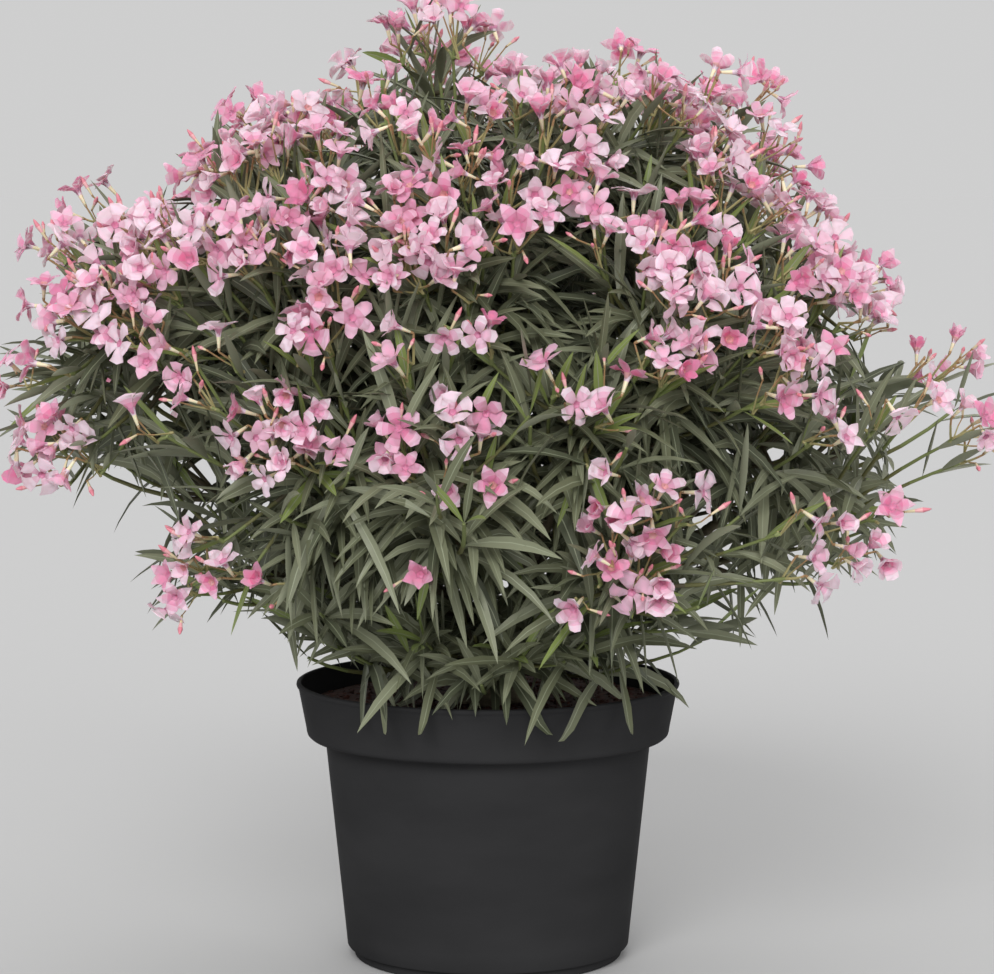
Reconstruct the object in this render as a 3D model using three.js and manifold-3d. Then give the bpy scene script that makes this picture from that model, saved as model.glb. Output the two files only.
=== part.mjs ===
// A flowering oleander shrub in a black plastic nursery pot.
// Millimetres and degrees, +Z up. The origin is the centre of the pot's flat underside.
//
// The shrub is a short root crown that forks into six limbs. Each limb carries a few boughs,
// each bough ends where it enters one mass of foliage, and five low masses, the skirts, spring
// straight from the root crown. A mass is one stem that forks into leafy shoots, most of them
// with a cluster of blooms at the tip, and it keeps to its own cell of the crown.

import * as THREE from 'three';
import { mergeVertices } from 'three/addons/utils/BufferGeometryUtils.js';
import Module from 'manifold-3d';

const wasm = await Module();
wasm.setup();

// ---------------------------------------------------------------- driving dimensions

const GAP = 0.3; // clearance that neighbouring solids keep
const CLEAR = 1.2; // clearance that the crown keeps from the pot and the soil

const POT = {
  height: 290,
  rimRadius: 200, // outside of the collar at the top
  collarHeight: 58,
  collarFootRadius: 190,
  collarRound: 7, // rounding under the collar
  wallTopRadius: 171, // outside of the wall where it leaves the collar
  wallFootRadius: 148,
  footRadius: 141, // the recessed foot that the pot stands on
  footHeight: 10,
  wall: 3,
  sides: 32,
};

const SOIL = { top: 266, mound: 5, sides: 16 };

const TRUNK = {
  height: 52,
  footRadius: 33,
  topRadius: 24,
  flare: 5, // how far the lobes stand out where the roots leave
  lobes: 4,
  lean: 3,
  sides: 12,
  rings: 3,
};

const LIMB = {
  baseRadius: 9.5,
  tipRadius: 7.5,
  reachShare: 0.4, // how far a limb goes towards the middle of its masses
  firstBough: 0.5, // share of the limb at which its lowest bough leaves
  lift: 22, // upward bow
  foot: 13, // distance of its foot from the middle of the root crown
  sides: 6,
  rings: 3,
};

const BOUGH = {
  baseRadius: 6,
  tipRadius: 4.6,
  massShare: 0.6, // share of the way from its limb to a mass's heart that the mass itself fills
  sweep: 0.2, // how much a bough first follows its limb
  aside: 6, // distance of its foot from the middle of its limb
  sides: 5,
  rings: 2,
};

const SHOOT = {
  baseRadius: 5,
  tipRadius: 4,
  fork: 0.2, // share of a mass at which its stem forks
  sag: 0.1,
  bow: 0.1,
  dome: 0.22, // how far the outer tips stay behind the middle, as a share of the spread
  jitter: 12,
  sides: 3,
  rings: 2,
};

// How far the shoots of a mass stand out from its middle.
const SPREAD = { share: 0.5, flowering: [45, 90], skirt: [40, 60] };

const LEAF = {
  length: 138,
  width: 34,
  thickness: 3,
  widest: 0.42, // where along the blade it is widest
  sunk: 2.6, // how far the root lies past the middle of its twig
  tries: [[0, 1], [0.4, 1], [-0.4, 1], [0.2, 0.7], [-0.3, 0.7], [0.5, 0.6]], // turn and size
  perShoot: 5,
  perSkirtShoot: 7,
  first: 0.16, // the stretch of a shoot that bears leaves, as shares of its length
  last: 0.86,
  splay: [84, 40], // angle from the shoot at its foot and at its tip
  droop: [0.6, 0.1], // how strongly the blade bends down, at the foot and at the tip
};

const BLOOM = {
  reach: 56, // from the cluster's hub to the petal tips
  radius: 24,
  throat: 0.36, // depth of the funnel, as a share of the reach
  tilt: 56, // angle of the outer blooms from the shoot's own direction
  step: 0.03, // distance between the roots of two blooms, as a share of the shoot
};

// Each limb feeds the masses listed under it, the lowest bough first. A mass's heart lies at
// `reach` from the shrub's foot, towards `turn` in plan (from +X towards +Y) and `rise` above level.
const LIMBS = {
  left: [
    { name: 'left_bottom', turn: 211, rise: 28, reach: 370, shoots: 3, blooms: 2 },
    { name: 'left_low', turn: 189, rise: 36, reach: 530, shoots: 3, blooms: 3 },
    { name: 'left_middle', turn: 204, rise: 46, reach: 575, shoots: 3, blooms: 3 },
    { name: 'left_high', turn: 172, rise: 50, reach: 640, shoots: 3, blooms: 4 },
  ],
  front_left: [
    { name: 'front_middle', turn: 264, rise: 34, reach: 495, shoots: 3, blooms: 3 },
    { name: 'front_left', turn: 240, rise: 38, reach: 490, shoots: 3, blooms: 3 },
    { name: 'front_left_high', turn: 229, rise: 56, reach: 575, shoots: 3, blooms: 4 },
  ],
  front_right: [
    { name: 'front_right_low', turn: 294, rise: 24, reach: 425, shoots: 3, blooms: 3 },
    { name: 'front_right', turn: 286, rise: 42, reach: 505, shoots: 3, blooms: 3 },
    { name: 'front_right_high', turn: 308, rise: 53, reach: 550, shoots: 3, blooms: 4 },
    { name: 'front_high', turn: 262, rise: 62, reach: 570, shoots: 3, blooms: 4 },
  ],
  right: [
    { name: 'right_low', turn: 342, rise: 28, reach: 430, shoots: 3, blooms: 3 },
    { name: 'right_far', turn: 2, rise: 34, reach: 585, shoots: 3, blooms: 3 },
    { name: 'right_middle', turn: 332, rise: 42, reach: 495, shoots: 3, blooms: 3 },
    { name: 'right_high', turn: 352, rise: 55, reach: 585, shoots: 3, blooms: 4 },
  ],
  back: [
    { name: 'back_low', turn: 90, rise: 28, reach: 500, shoots: 3, blooms: 3 },
    { name: 'back_left', turn: 138, rise: 38, reach: 545, shoots: 3, blooms: 3 },
    { name: 'back_right', turn: 42, rise: 38, reach: 540, shoots: 3, blooms: 3 },
    { name: 'back_high', turn: 92, rise: 60, reach: 600, shoots: 3, blooms: 3 },
  ],
  top: [
    { name: 'top_left', turn: 178, rise: 67, reach: 635, shoots: 3, blooms: 4 },
    { name: 'top_right', turn: 16, rise: 69, reach: 655, shoots: 3, blooms: 4 },
    { name: 'top_middle', turn: 318, rise: 78, reach: 630, shoots: 3, blooms: 4 },
    { name: 'top_peak', turn: 150, rise: 83, reach: 710, shoots: 3, blooms: 4 },
  ],
};

const SKIRTS = [
  { name: 'skirt_front', turn: 266, rise: 27, reach: 235, shoots: 4, blooms: 0 },
  { name: 'skirt_right', turn: 319, rise: 27, reach: 225, shoots: 4, blooms: 0 },
  { name: 'skirt_left', turn: 215, rise: 27, reach: 225, shoots: 4, blooms: 0 },
  { name: 'skirt_back_left', turn: 140, rise: 27, reach: 225, shoots: 3, blooms: 0 },
  { name: 'skirt_back_right', turn: 38, rise: 27, reach: 225, shoots: 3, blooms: 0 },
];

const COLOURS = {
  plastic: new THREE.MeshStandardMaterial({ color: 0x2c2c2d, roughness: 0.5, metalness: 0 }),
  peat: new THREE.MeshStandardMaterial({ color: 0x2b1a12, roughness: 0.95, metalness: 0 }),
  bark: new THREE.MeshStandardMaterial({ color: 0x6a6148, roughness: 0.85, metalness: 0 }),
  foliage: new THREE.MeshStandardMaterial({ color: 0x5c6a4c, roughness: 0.6, metalness: 0 }),
};

// ---------------------------------------------------------------- small helpers

const UP = new THREE.Vector3(0, 0, 1);
const FOOT = new THREE.Vector3(0, 0, SOIL.top); // the shrub's foot, level with the soil

const along = (from, direction, distance) => from.clone().addScaledVector(direction, distance);
const between = (a, b, share) => a.clone().lerp(b, share);
const mix = ([a, b], share) => a + (b - a) * share;

// A repeatable number from 0 to 1 for any list of whole-number keys.
function seeded(...keys) {
  let h = 20250;
  for (const key of keys) {
    h = Math.imul(h ^ (key + 1), 2654435761);
    h ^= h >>> 15;
    h = Math.imul(h, 2246822519);
    h ^= h >>> 13;
  }
  return (h >>> 0) / 4294967296;
}

const scatter = (size, ...keys) => (seeded(...keys) * 2 - 1) * size;

function heading(turn, rise) {
  const t = THREE.MathUtils.degToRad(turn);
  const r = THREE.MathUtils.degToRad(rise);
  return new THREE.Vector3(Math.cos(r) * Math.cos(t), Math.cos(r) * Math.sin(t), Math.sin(r));
}

// Two directions square to `axis` and to each other.
function squareTo(axis) {
  const helper = Math.abs(axis.z) < 0.95 ? UP : new THREE.Vector3(1, 0, 0);
  const u = new THREE.Vector3().crossVectors(axis, helper).normalize();
  return [u, new THREE.Vector3().crossVectors(axis, u).normalize()];
}

// A direction square to `axis` at an angle round it.
function around(axis, angle) {
  const [u, v] = squareTo(axis);
  return u.multiplyScalar(Math.cos(angle)).addScaledVector(v, Math.sin(angle));
}

// ---------------------------------------------------------------- solids

function solidOf(geometry) {
  const bare = new THREE.BufferGeometry();
  bare.setAttribute('position', geometry.getAttribute('position'));
  bare.setIndex(geometry.getIndex());
  const merged = mergeVertices(bare, 1e-3);
  const corners = Array.from(merged.getIndex().array);
  const triVerts = [];
  for (let i = 0; i < corners.length; i += 3) {
    const [a, b, c] = corners.slice(i, i + 3);
    if (a !== b && b !== c && c !== a) triVerts.push(a, b, c);
  }
  return new wasm.Manifold(
    new wasm.Mesh({
      numProp: 3,
      vertProperties: merged.getAttribute('position').array,
      triVerts: new Uint32Array(triVerts),
    }),
  );
}

function geometryOf(solid) {
  const mesh = solid.getMesh();
  const geometry = new THREE.BufferGeometry();
  geometry.setAttribute('position', new THREE.BufferAttribute(mesh.vertProperties, mesh.numProp));
  geometry.setIndex(new THREE.BufferAttribute(mesh.triVerts, 1));
  const faceted = geometry.toNonIndexed();
  faceted.computeVertexNormals();
  return faceted;
}

const overlaps = (a, b) => !a.intersect(b).isEmpty();

// The one closed body that is left once loose scraps and sealed hollows are dropped.
function mainBody(solid) {
  return solid.decompose().reduce((best, body) => (body.volume() > best.volume() ? body : best));
}

// Moves every vertex of a geometry through a function.
function reshaped(geometry, move) {
  const position = geometry.getAttribute('position');
  const point = new THREE.Vector3();
  for (let i = 0; i < position.count; i++) {
    point.fromBufferAttribute(position, i);
    const moved = move(point);
    position.setXYZ(i, moved.x, moved.y, moved.z);
  }
  return geometry;
}

// Bends a geometry whose own Y runs from 0 to 1 along a curve. Its X stays square to `hint`, and
// its two ends go `extra` further than the curve.
function bentAlong(geometry, curve, hint, extra = 0) {
  return reshaped(geometry, (p) => {
    const share = THREE.MathUtils.clamp(p.y, 0, 1);
    const tangent = curve.getTangent(share);
    const side = new THREE.Vector3().crossVectors(hint, tangent).normalize();
    const normal = new THREE.Vector3().crossVectors(side, tangent);
    const point = curve.getPoint(share).addScaledVector(side, p.x).addScaledVector(normal, p.z);
    const end = share === 1 ? 1 : share === 0 ? -1 : 0;
    return point.addScaledVector(tangent, end * extra);
  });
}

// The middle of a limb whose straight pieces join `rings` + 1 points of its curve.
function middleOf(curve, share, rings) {
  const ring = Math.min(Math.floor(share * rings), rings - 1);
  return between(curve.getPoint(ring / rings), curve.getPoint((ring + 1) / rings), share * rings - ring);
}

// A tapering round limb along a curve.
function limbGeometry(curve, { baseRadius, tipRadius, sides, rings }, grow = 0) {
  const tube = new THREE.CylinderGeometry(tipRadius + grow, baseRadius + grow, 1, sides, rings);
  tube.translate(0, 0.5, 0);
  return bentAlong(tube, curve, squareTo(curve.getTangent(0.5))[0], grow);
}

// ---------------------------------------------------------------- pot, soil and root crown

function turned(profile, sides) {
  const points = profile.map(([radius, height]) => new THREE.Vector2(radius, height));
  return new THREE.LatheGeometry(points, sides).rotateX(Math.PI / 2);
}

function potOutline() {
  const { height, rimRadius, collarHeight, collarFootRadius, collarRound, wallTopRadius } = POT;
  const collarFoot = height - collarHeight;
  return [
    [POT.footRadius, 0],
    [POT.footRadius, POT.footHeight - 2],
    [POT.wallFootRadius, POT.footHeight],
    [wallTopRadius, collarFoot],
    [collarFootRadius - collarRound, collarFoot],
    [collarFootRadius, collarFoot + collarRound],
    [rimRadius - 1, height - 6],
    [rimRadius, height - 3],
    [rimRadius - 2, height],
  ];
}

function potGeometry() {
  const { height, wall, rimRadius, collarHeight, collarFootRadius, wallTopRadius } = POT;
  const ledge = height - collarHeight + wall;
  const inside = [
    [rimRadius - wall - 2, height],
    [rimRadius - wall - 3, height - 5],
    [collarFootRadius - wall, ledge + POT.collarRound],
    [collarFootRadius - wall - POT.collarRound, ledge],
    [wallTopRadius - wall, ledge],
    [POT.wallFootRadius - wall, POT.footHeight + wall],
    [0, POT.footHeight + wall],
  ];
  return turned([[0, 0], ...potOutline(), ...inside], POT.sides);
}

// The soil fills the pot, and stays clear of its wall all round.
function soilGeometry() {
  const { height, wall, collarHeight, collarFootRadius, wallTopRadius, wallFootRadius } = POT;
  const ledge = height - collarHeight + wall;
  const inset = wall + 1.6;
  return turned(
    [
      [0, POT.footHeight + wall + GAP],
      [wallFootRadius - inset, POT.footHeight + wall + GAP],
      [wallTopRadius - inset, ledge + GAP],
      [collarFootRadius - inset - POT.collarRound, ledge + GAP],
      [collarFootRadius - inset, ledge + POT.collarRound + GAP],
      [collarFootRadius - inset + 3, SOIL.top - 6],
      [collarFootRadius - 22, SOIL.top - SOIL.mound + 1],
      [TRUNK.footRadius * 2.6, SOIL.top - 1],
      [TRUNK.footRadius * 1.7, SOIL.top],
      [0, SOIL.top],
    ],
    SOIL.sides,
  );
}

// What the crown has to stay clear of below: the filled pot, a little grown.
function potGuard() {
  const grown = potOutline().map(([radius, height]) => [radius + CLEAR, height + CLEAR]);
  const bowl = [
    [POT.rimRadius - 9, POT.height + CLEAR],
    [POT.collarFootRadius - 8, SOIL.top + CLEAR],
    [0, SOIL.top + CLEAR],
  ];
  return solidOf(turned([[0, -CLEAR], [POT.footRadius + CLEAR, -CLEAR], ...grown, ...bowl], POT.sides));
}

// A short stool with lobes where the roots leave it, cut flat at the soil.
function trunkGeometry(grow = 0) {
  const { height, footRadius, topRadius, flare, lobes, lean, sides, rings } = TRUNK;
  const stool = new THREE.CylinderGeometry(1, 1, 1, sides, rings).translate(0, 0.5, 0);
  return reshaped(stool, (p) => {
    const share = THREE.MathUtils.clamp(p.y, 0, 1);
    const low = (1 - share) ** 2;
    const angle = Math.atan2(p.z, p.x);
    const radius = topRadius + (footRadius - topRadius) * low + flare * low * Math.cos(lobes * angle) + grow;
    const spread = Math.hypot(p.x, p.z) > 0.5 ? radius : 0;
    const level = SOIL.top + GAP + share * height + (share === 1 ? grow : 0);
    // X and Z change places, which keeps the faces pointing out when Y becomes the height.
    return new THREE.Vector3(Math.sin(angle) * spread + lean * share, Math.cos(angle) * spread, level);
  });
}

// ---------------------------------------------------------------- limbs and boughs

const heartOf = (mass) => along(FOOT, heading(mass.turn, mass.rise), mass.reach);

// A limb rises from the root crown towards the middle of the masses that it feeds.
function limbCurve(masses) {
  const middle = new THREE.Vector3();
  for (const mass of masses) middle.add(heartOf(mass).divideScalar(masses.length));
  const tip = between(FOOT, middle, LIMB.reachShare);
  const out = middle.clone().sub(FOOT).setZ(0).normalize();
  const foot = along(along(FOOT, UP, TRUNK.height - 8), out, LIMB.foot);
  return new THREE.QuadraticBezierCurve3(foot, along(between(foot, tip, 0.5), UP, LIMB.lift), tip);
}

// A bough leaves its limb at a share of its length, and ends where it enters its mass.
function boughCurve(limb, share, mass) {
  const from = middleOf(limb, share, LIMB.rings);
  const to = between(heartOf(mass), from, BOUGH.massShare);
  const length = from.distanceTo(to);
  const tangent = limb.getTangent(share);
  const aside = to.clone().sub(from).projectOnPlane(tangent).normalize();
  const elbow = between(between(from, to, 0.5), along(from, tangent, length * 0.5), BOUGH.sweep);
  return new THREE.QuadraticBezierCurve3(along(from, aside, share < 1 ? BOUGH.aside : 0), elbow, to);
}

// A skirt springs from inside the root crown, whose guard then cuts it back.
function skirtRoot(mass) {
  const out = heading(mass.turn, 0);
  return along(along(FOOT, UP, TRUNK.height * 0.55), out, TRUNK.topRadius * 0.8);
}

// ---------------------------------------------------------------- foliage

// The shoots of a mass: where each one forks off, and the curve that it follows to its tip.
function shootCurves(mass, index) {
  const heart = heartOf(mass);
  const axis = heart.clone().sub(mass.start).normalize();
  const fork = between(mass.start, heart, SHOOT.fork);
  const phase = seeded(index, 1) * Math.PI * 2;
  const curves = [];
  for (let k = 0; k < mass.shoots; k++) {
    const sideways = around(axis, phase + (k * Math.PI * 2) / mass.shoots);
    const tip = along(along(heart, sideways, mass.spread), axis, -SHOOT.dome * mass.spread);
    tip.x += scatter(SHOOT.jitter, index, k, 2);
    tip.y += scatter(SHOOT.jitter, index, k, 3);
    tip.z += scatter(SHOOT.jitter, index, k, 4);
    const length = fork.distanceTo(tip);
    const elbow = along(between(fork, tip, 0.55), UP, -SHOOT.sag * length);
    elbow.addScaledVector(sideways, SHOOT.bow * length);
    curves.push(new THREE.QuadraticBezierCurve3(fork, elbow, tip));
  }
  return curves;
}

// The direction in which something leaves one of the three sides of a twig.
function leaving(twig, share, side, turn, splay) {
  const tangent = twig.getTangent(share);
  const hint = squareTo(twig.getTangent(0.5))[0];
  const across = new THREE.Vector3().crossVectors(hint, tangent).normalize();
  const outward = new THREE.Vector3().crossVectors(across, tangent);
  const angle = (side * 2 + 1) * (Math.PI / 3) + turn;
  outward.multiplyScalar(Math.cos(angle)).addScaledVector(across, Math.sin(angle));
  return tangent.multiplyScalar(Math.cos(splay)).addScaledVector(outward, Math.sin(splay));
}

// Where a leaf lies: it leaves its twig at an angle, and its blade bends down.
function leafCurve(twig, share, side, turn, length) {
  const splay = THREE.MathUtils.degToRad(mix(LEAF.splay, share));
  const direction = leaving(twig, share, side, turn, splay);
  const bent = along(direction, UP, -mix(LEAF.droop, share)).normalize();
  const root = along(middleOf(twig, share, SHOOT.rings), direction, -LEAF.sunk);
  const elbow = along(root, direction, length * 0.5);
  return new THREE.QuadraticBezierCurve3(root, elbow, along(elbow, bent, length * 0.5));
}

// A long three-sided blade, flat on the side that it turns to `facing`, with its midrib as a
// keel on the other side.
function leafGeometry(curve, facing) {
  const blade = new THREE.SphereGeometry(1, 3, 2).rotateY(Math.PI / 2);
  const shaped = reshaped(blade, (p) => {
    if (Math.abs(p.y) > 0.5) return new THREE.Vector3(0, p.y > 0 ? 1 : 0, 0);
    if (p.z > 0.5) return new THREE.Vector3(0, LEAF.widest, LEAF.thickness);
    return new THREE.Vector3((Math.sign(p.x) * LEAF.width) / 2, LEAF.widest, 0);
  });
  return bentAlong(shaped, curve, facing);
}

// A five-sided funnel that leaves a twig at `root`.
function bloomGeometry(root, direction, spin) {
  const { reach, radius, throat } = BLOOM;
  const cone = new THREE.ConeGeometry(1, 1, 5, 1).rotateX(Math.PI).translate(0, 0.5, 0);
  const [u, v] = squareTo(direction);
  return reshaped(cone, (p) => {
    const rim = Math.hypot(p.x, p.z) > 0.5;
    const outward = rim ? radius : 0;
    const angle = Math.atan2(p.x, p.z) + spin;
    const middle = p.y > 0.5 ? reach * (1 - throat) : 0;
    return along(root, direction, rim ? reach : middle)
      .addScaledVector(u, outward * Math.cos(angle))
      .addScaledVector(v, outward * Math.sin(angle));
  });
}

// Where the blooms of a cluster leave their shoot and where they face: one on each side of its
// end, and then one straight out of it.
function bloomPlaces(twig, count) {
  const tilt = THREE.MathUtils.degToRad(BLOOM.tilt);
  const places = [];
  for (let k = 0; k < count; k++) {
    const share = k < 3 ? 1 - BLOOM.step * (k + 1) : 1;
    const direction = k < 3 ? leaving(twig, share, k, 0, tilt) : twig.getTangent(1);
    places.push([along(middleOf(twig, share, SHOOT.rings), direction, k < 3 ? 0 : -2), direction]);
  }
  return places;
}

// True where every corner of a geometry lies nearer to its own mass's core than to any other.
// A core is the line from a mass's stem to its heart.
function keepsToCell(geometry, own, cores) {
  const position = geometry.getAttribute('position');
  const corner = new THREE.Vector3();
  const nearest = new THREE.Vector3();
  const reachTo = (core) => core.closestPointToPoint(corner, true, nearest).distanceTo(corner);
  for (let i = 0; i < position.count; i++) {
    corner.fromBufferAttribute(position, i);
    const near = reachTo(cores[own]) + 2 * GAP;
    if (cores.some((core, j) => j !== own && reachTo(core) < near)) return false;
  }
  return true;
}

// Grows one mass: a stem, its shoots, a cluster of blooms on each, then leaves along them. A shoot
// that would touch one of `forShoots` is left out, and so is a bloom or a leaf that would touch one
// of `forFringe`, another shoot or another leaf.
function massSolid(mass, index, cores, forShoots, forFringe) {
  const forkEnd = between(mass.start, heartOf(mass), SHOOT.fork * 1.15);
  const elbow = along(mass.start, mass.leaving, mass.start.distanceTo(forkEnd) * 0.5);
  const stem = new THREE.QuadraticBezierCurve3(mass.start, elbow, forkEnd);
  const twigs = [solidOf(limbGeometry(stem, { ...SHOOT, baseRadius: BOUGH.tipRadius, rings: 1 }))];
  const fringe = [];

  // Adds a piece to a list where it keeps to the mass's cell and meets nothing that it mustn't.
  const addTo = (list, geometry, obstacles) => {
    const solid = solidOf(geometry);
    const free = keepsToCell(geometry, index, cores) && !obstacles.some((other) => overlaps(solid, other));
    if (free) list.push(solid);
    return free;
  };

  const shoots = shootCurves(mass, index).filter((curve) =>
    addTo(twigs, limbGeometry(curve, SHOOT), forShoots),
  );

  shoots.forEach((curve, k) => {
    bloomPlaces(curve, mass.blooms).forEach(([root, direction], j) => {
      addTo(fringe, bloomGeometry(root, direction, seeded(index, k, j, 8)), [...forFringe, ...fringe]);
    });
  });

  const leaves = mass.blooms > 0 ? LEAF.perShoot : LEAF.perSkirtShoot;
  shoots.forEach((curve, k) => {
    const otherTwigs = twigs.filter((_, i) => i !== k + 1);
    for (let j = 0; j < leaves; j++) {
      const share = mix([LEAF.first, LEAF.last], j / (leaves - 1));
      const length = LEAF.length * (0.85 + 0.3 * seeded(index, k, j, 6));
      // A blade that has no room is tried turned, then shorter.
      LEAF.tries.some(([turn, size]) => {
        const blade = leafCurve(curve, share, (j * 2 + k) % 3, turn, length * size);
        const geometry = leafGeometry(blade, curve.getTangent(share));
        return addTo(fringe, geometry, [...forFringe, ...otherTwigs, ...fringe]);
      });
    }
  });
  return wasm.Manifold.union([...twigs, ...fringe]);
}

// ---------------------------------------------------------------- the whole plant

const oleander = new THREE.Group();

function addNode(name, solid, material) {
  const mesh = new THREE.Mesh(geometryOf(solid), material);
  mesh.name = name;
  oleander.add(mesh);
}

addNode('pot', solidOf(potGeometry()), COLOURS.plastic);
addNode('soil', solidOf(soilGeometry()), COLOURS.peat);

addNode('root_crown', solidOf(trunkGeometry()), COLOURS.bark);

// A guard is a piece of wood grown by GAP all round. It cuts back whatever is made after it.
const guards = [solidOf(trunkGeometry(GAP))];
const masses = [];

function addLimb(name, curve, shape) {
  const whole = solidOf(limbGeometry(curve, shape));
  addNode(name, mainBody(whole.subtract(wasm.Manifold.union(guards))), COLOURS.bark);
  guards.push(solidOf(limbGeometry(curve, shape, GAP)));
}

for (const [name, fed] of Object.entries(LIMBS)) {
  const limb = limbCurve(fed);
  addLimb(`limb_${name}`, limb, LIMB);
  fed.forEach((mass, k) => {
    const share = mix([LIMB.firstBough, 1], k / (fed.length - 1));
    const bough = boughCurve(limb, share, mass);
    addLimb(`bough_${mass.name}`, bough, BOUGH);
    const end = { start: bough.getPoint(1), leaving: bough.getTangent(1) };
    masses.push({ ...mass, ...end, carrier: guards.length - 1 });
  });
}
for (const mass of SKIRTS) {
  masses.push({ ...mass, start: skirtRoot(mass), leaving: heading(mass.turn, 30), carrier: 0 });
}

// Each mass spreads as far as its nearest neighbour leaves room for.
const hearts = masses.map(heartOf);
masses.forEach((mass, i) => {
  const distances = hearts.filter((_, j) => j !== i).map((heart) => heart.distanceTo(hearts[i]));
  const [least, most] = mass.blooms > 0 ? SPREAD.flowering : SPREAD.skirt;
  mass.spread = THREE.MathUtils.clamp(Math.min(...distances) * SPREAD.share - BLOOM.reach / 2, least, most);
});
const cores = masses.map((mass) => new THREE.Line3(mass.start, heartOf(mass)));

const pot = potGuard();
const grown = [];
masses.forEach((mass, i) => {
  const otherWood = guards.filter((_, j) => j !== mass.carrier);
  const forShoots = [wasm.Manifold.union([pot, ...otherWood]), ...grown];
  const forFringe = [wasm.Manifold.union([pot, ...guards]), ...grown];
  const solid = massSolid(mass, i, cores, forShoots, forFringe).subtract(guards[mass.carrier]);
  grown.push(mainBody(solid));
  addNode(`foliage_${mass.name}`, grown[i], COLOURS.foliage);
});

export default oleander;
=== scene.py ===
import math

import bpy
import numpy as np
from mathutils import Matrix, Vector


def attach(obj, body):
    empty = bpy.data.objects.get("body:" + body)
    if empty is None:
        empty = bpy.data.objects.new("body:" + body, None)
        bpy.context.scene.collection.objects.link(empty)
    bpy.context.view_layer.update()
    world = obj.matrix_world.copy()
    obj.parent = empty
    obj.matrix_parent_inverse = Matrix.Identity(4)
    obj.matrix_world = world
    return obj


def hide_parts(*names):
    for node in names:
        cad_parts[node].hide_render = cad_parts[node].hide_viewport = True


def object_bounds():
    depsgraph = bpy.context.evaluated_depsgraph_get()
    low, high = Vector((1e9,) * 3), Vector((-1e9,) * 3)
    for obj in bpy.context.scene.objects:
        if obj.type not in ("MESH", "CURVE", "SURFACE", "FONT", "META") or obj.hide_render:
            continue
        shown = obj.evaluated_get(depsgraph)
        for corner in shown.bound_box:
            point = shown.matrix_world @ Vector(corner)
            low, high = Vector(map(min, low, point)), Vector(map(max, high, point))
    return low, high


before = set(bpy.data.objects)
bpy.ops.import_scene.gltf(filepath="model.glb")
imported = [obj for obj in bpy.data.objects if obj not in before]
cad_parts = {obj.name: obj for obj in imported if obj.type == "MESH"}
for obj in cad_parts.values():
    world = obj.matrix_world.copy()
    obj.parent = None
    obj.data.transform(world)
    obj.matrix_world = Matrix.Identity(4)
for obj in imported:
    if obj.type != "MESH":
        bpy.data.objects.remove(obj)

cadBox = [list(corner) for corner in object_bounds()]
bpy.ops.object.select_all(action="DESELECT")
bpy.context.scene.view_settings.view_transform = "Standard"

# The wood and the masses stand where the solids do: turn in plan from +X towards +Y, rise above
# level and reach in metres, all from the shrub's foot.
plant = {
    "foot": (0, 0, 0.266),
    "limbs": {
        "left": [("left_bottom", 211, 28, 0.370), ("left_low", 189, 36, 0.530),
                 ("left_middle", 204, 46, 0.575), ("left_high", 172, 50, 0.640)],
        "front_left": [("front_middle", 264, 34, 0.495), ("front_left", 240, 38, 0.490),
                       ("front_left_high", 229, 56, 0.575)],
        "front_right": [("front_right_low", 294, 24, 0.425), ("front_right", 286, 42, 0.505),
                        ("front_right_high", 308, 53, 0.550), ("front_high", 262, 62, 0.570)],
        "right": [("right_low", 342, 28, 0.430), ("right_far", 2, 34, 0.585),
                  ("right_middle", 332, 42, 0.495), ("right_high", 352, 55, 0.585)],
        "back": [("back_low", 90, 28, 0.500), ("back_left", 138, 38, 0.545),
                 ("back_right", 42, 38, 0.540), ("back_high", 92, 60, 0.600)],
        "top": [("top_left", 178, 67, 0.635), ("top_right", 16, 69, 0.655),
                ("top_middle", 318, 78, 0.630), ("top_peak", 150, 83, 0.710)],
    },
    "skirts": [("skirt_front", 266, 27, 0.235, 4), ("skirt_right", 319, 27, 0.225, 4),
               ("skirt_left", 215, 27, 0.225, 4), ("skirt_back_left", 140, 27, 0.225, 3),
               ("skirt_back_right", 38, 27, 0.225, 3)],
    "crownHeight": 0.052, "crownTop": 0.024, "crownSink": 0.008,
    "limbReach": 0.4, "limbLift": 0.022, "limbFoot": 0.013, "limbRadii": (0.0095, 0.0075),
    "firstBough": 0.5, "boughRadii": (0.006, 0.0046),
    "massShare": 0.6, "sweep": 0.2, "aside": 0.006,
    "fork": 0.2, "sag": 0.1, "bow": 0.1, "dome": 0.22, "jitter": 0.012,
    "spread": (0.045, 0.090), "skirtSpread": (0.040, 0.060), "spreadLess": 0.028,
}

fullTurn = 2 * math.pi
goldenTurn, goldenShare = 2.39996, 0.618034
up = np.array([0.0, 0.0, 1.0])
foot = np.array(plant["foot"], float)


def unit(v):
    return v / np.maximum(np.linalg.norm(v, axis=-1, keepdims=True), 1e-9)


def mix(a, b, share):
    return a + (b - a) * share


def apart(a, b):
    return np.linalg.norm(a - b)


# The direction of the part of a way that is square to an axis.
def asideOf(way, axis):
    return unit(way - axis * (way @ axis))


# A repeatable number from 0 to 1 for any list of whole numbers.
def seeded(*keys):
    h = 20250
    for key in keys:
        h = ((h ^ (key + 1)) * 2654435761) & 0xFFFFFFFF
        h ^= h >> 15
        h = (h * 2246822519) & 0xFFFFFFFF
        h ^= h >> 13
    return h / 4294967296


def heading(turn, rise):
    t, r = math.radians(turn), math.radians(rise)
    return np.array([math.cos(r) * math.cos(t), math.cos(r) * math.sin(t), math.sin(r)])


def placeAt(turn, rise, reach):
    return foot + heading(turn, rise) * reach


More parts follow.
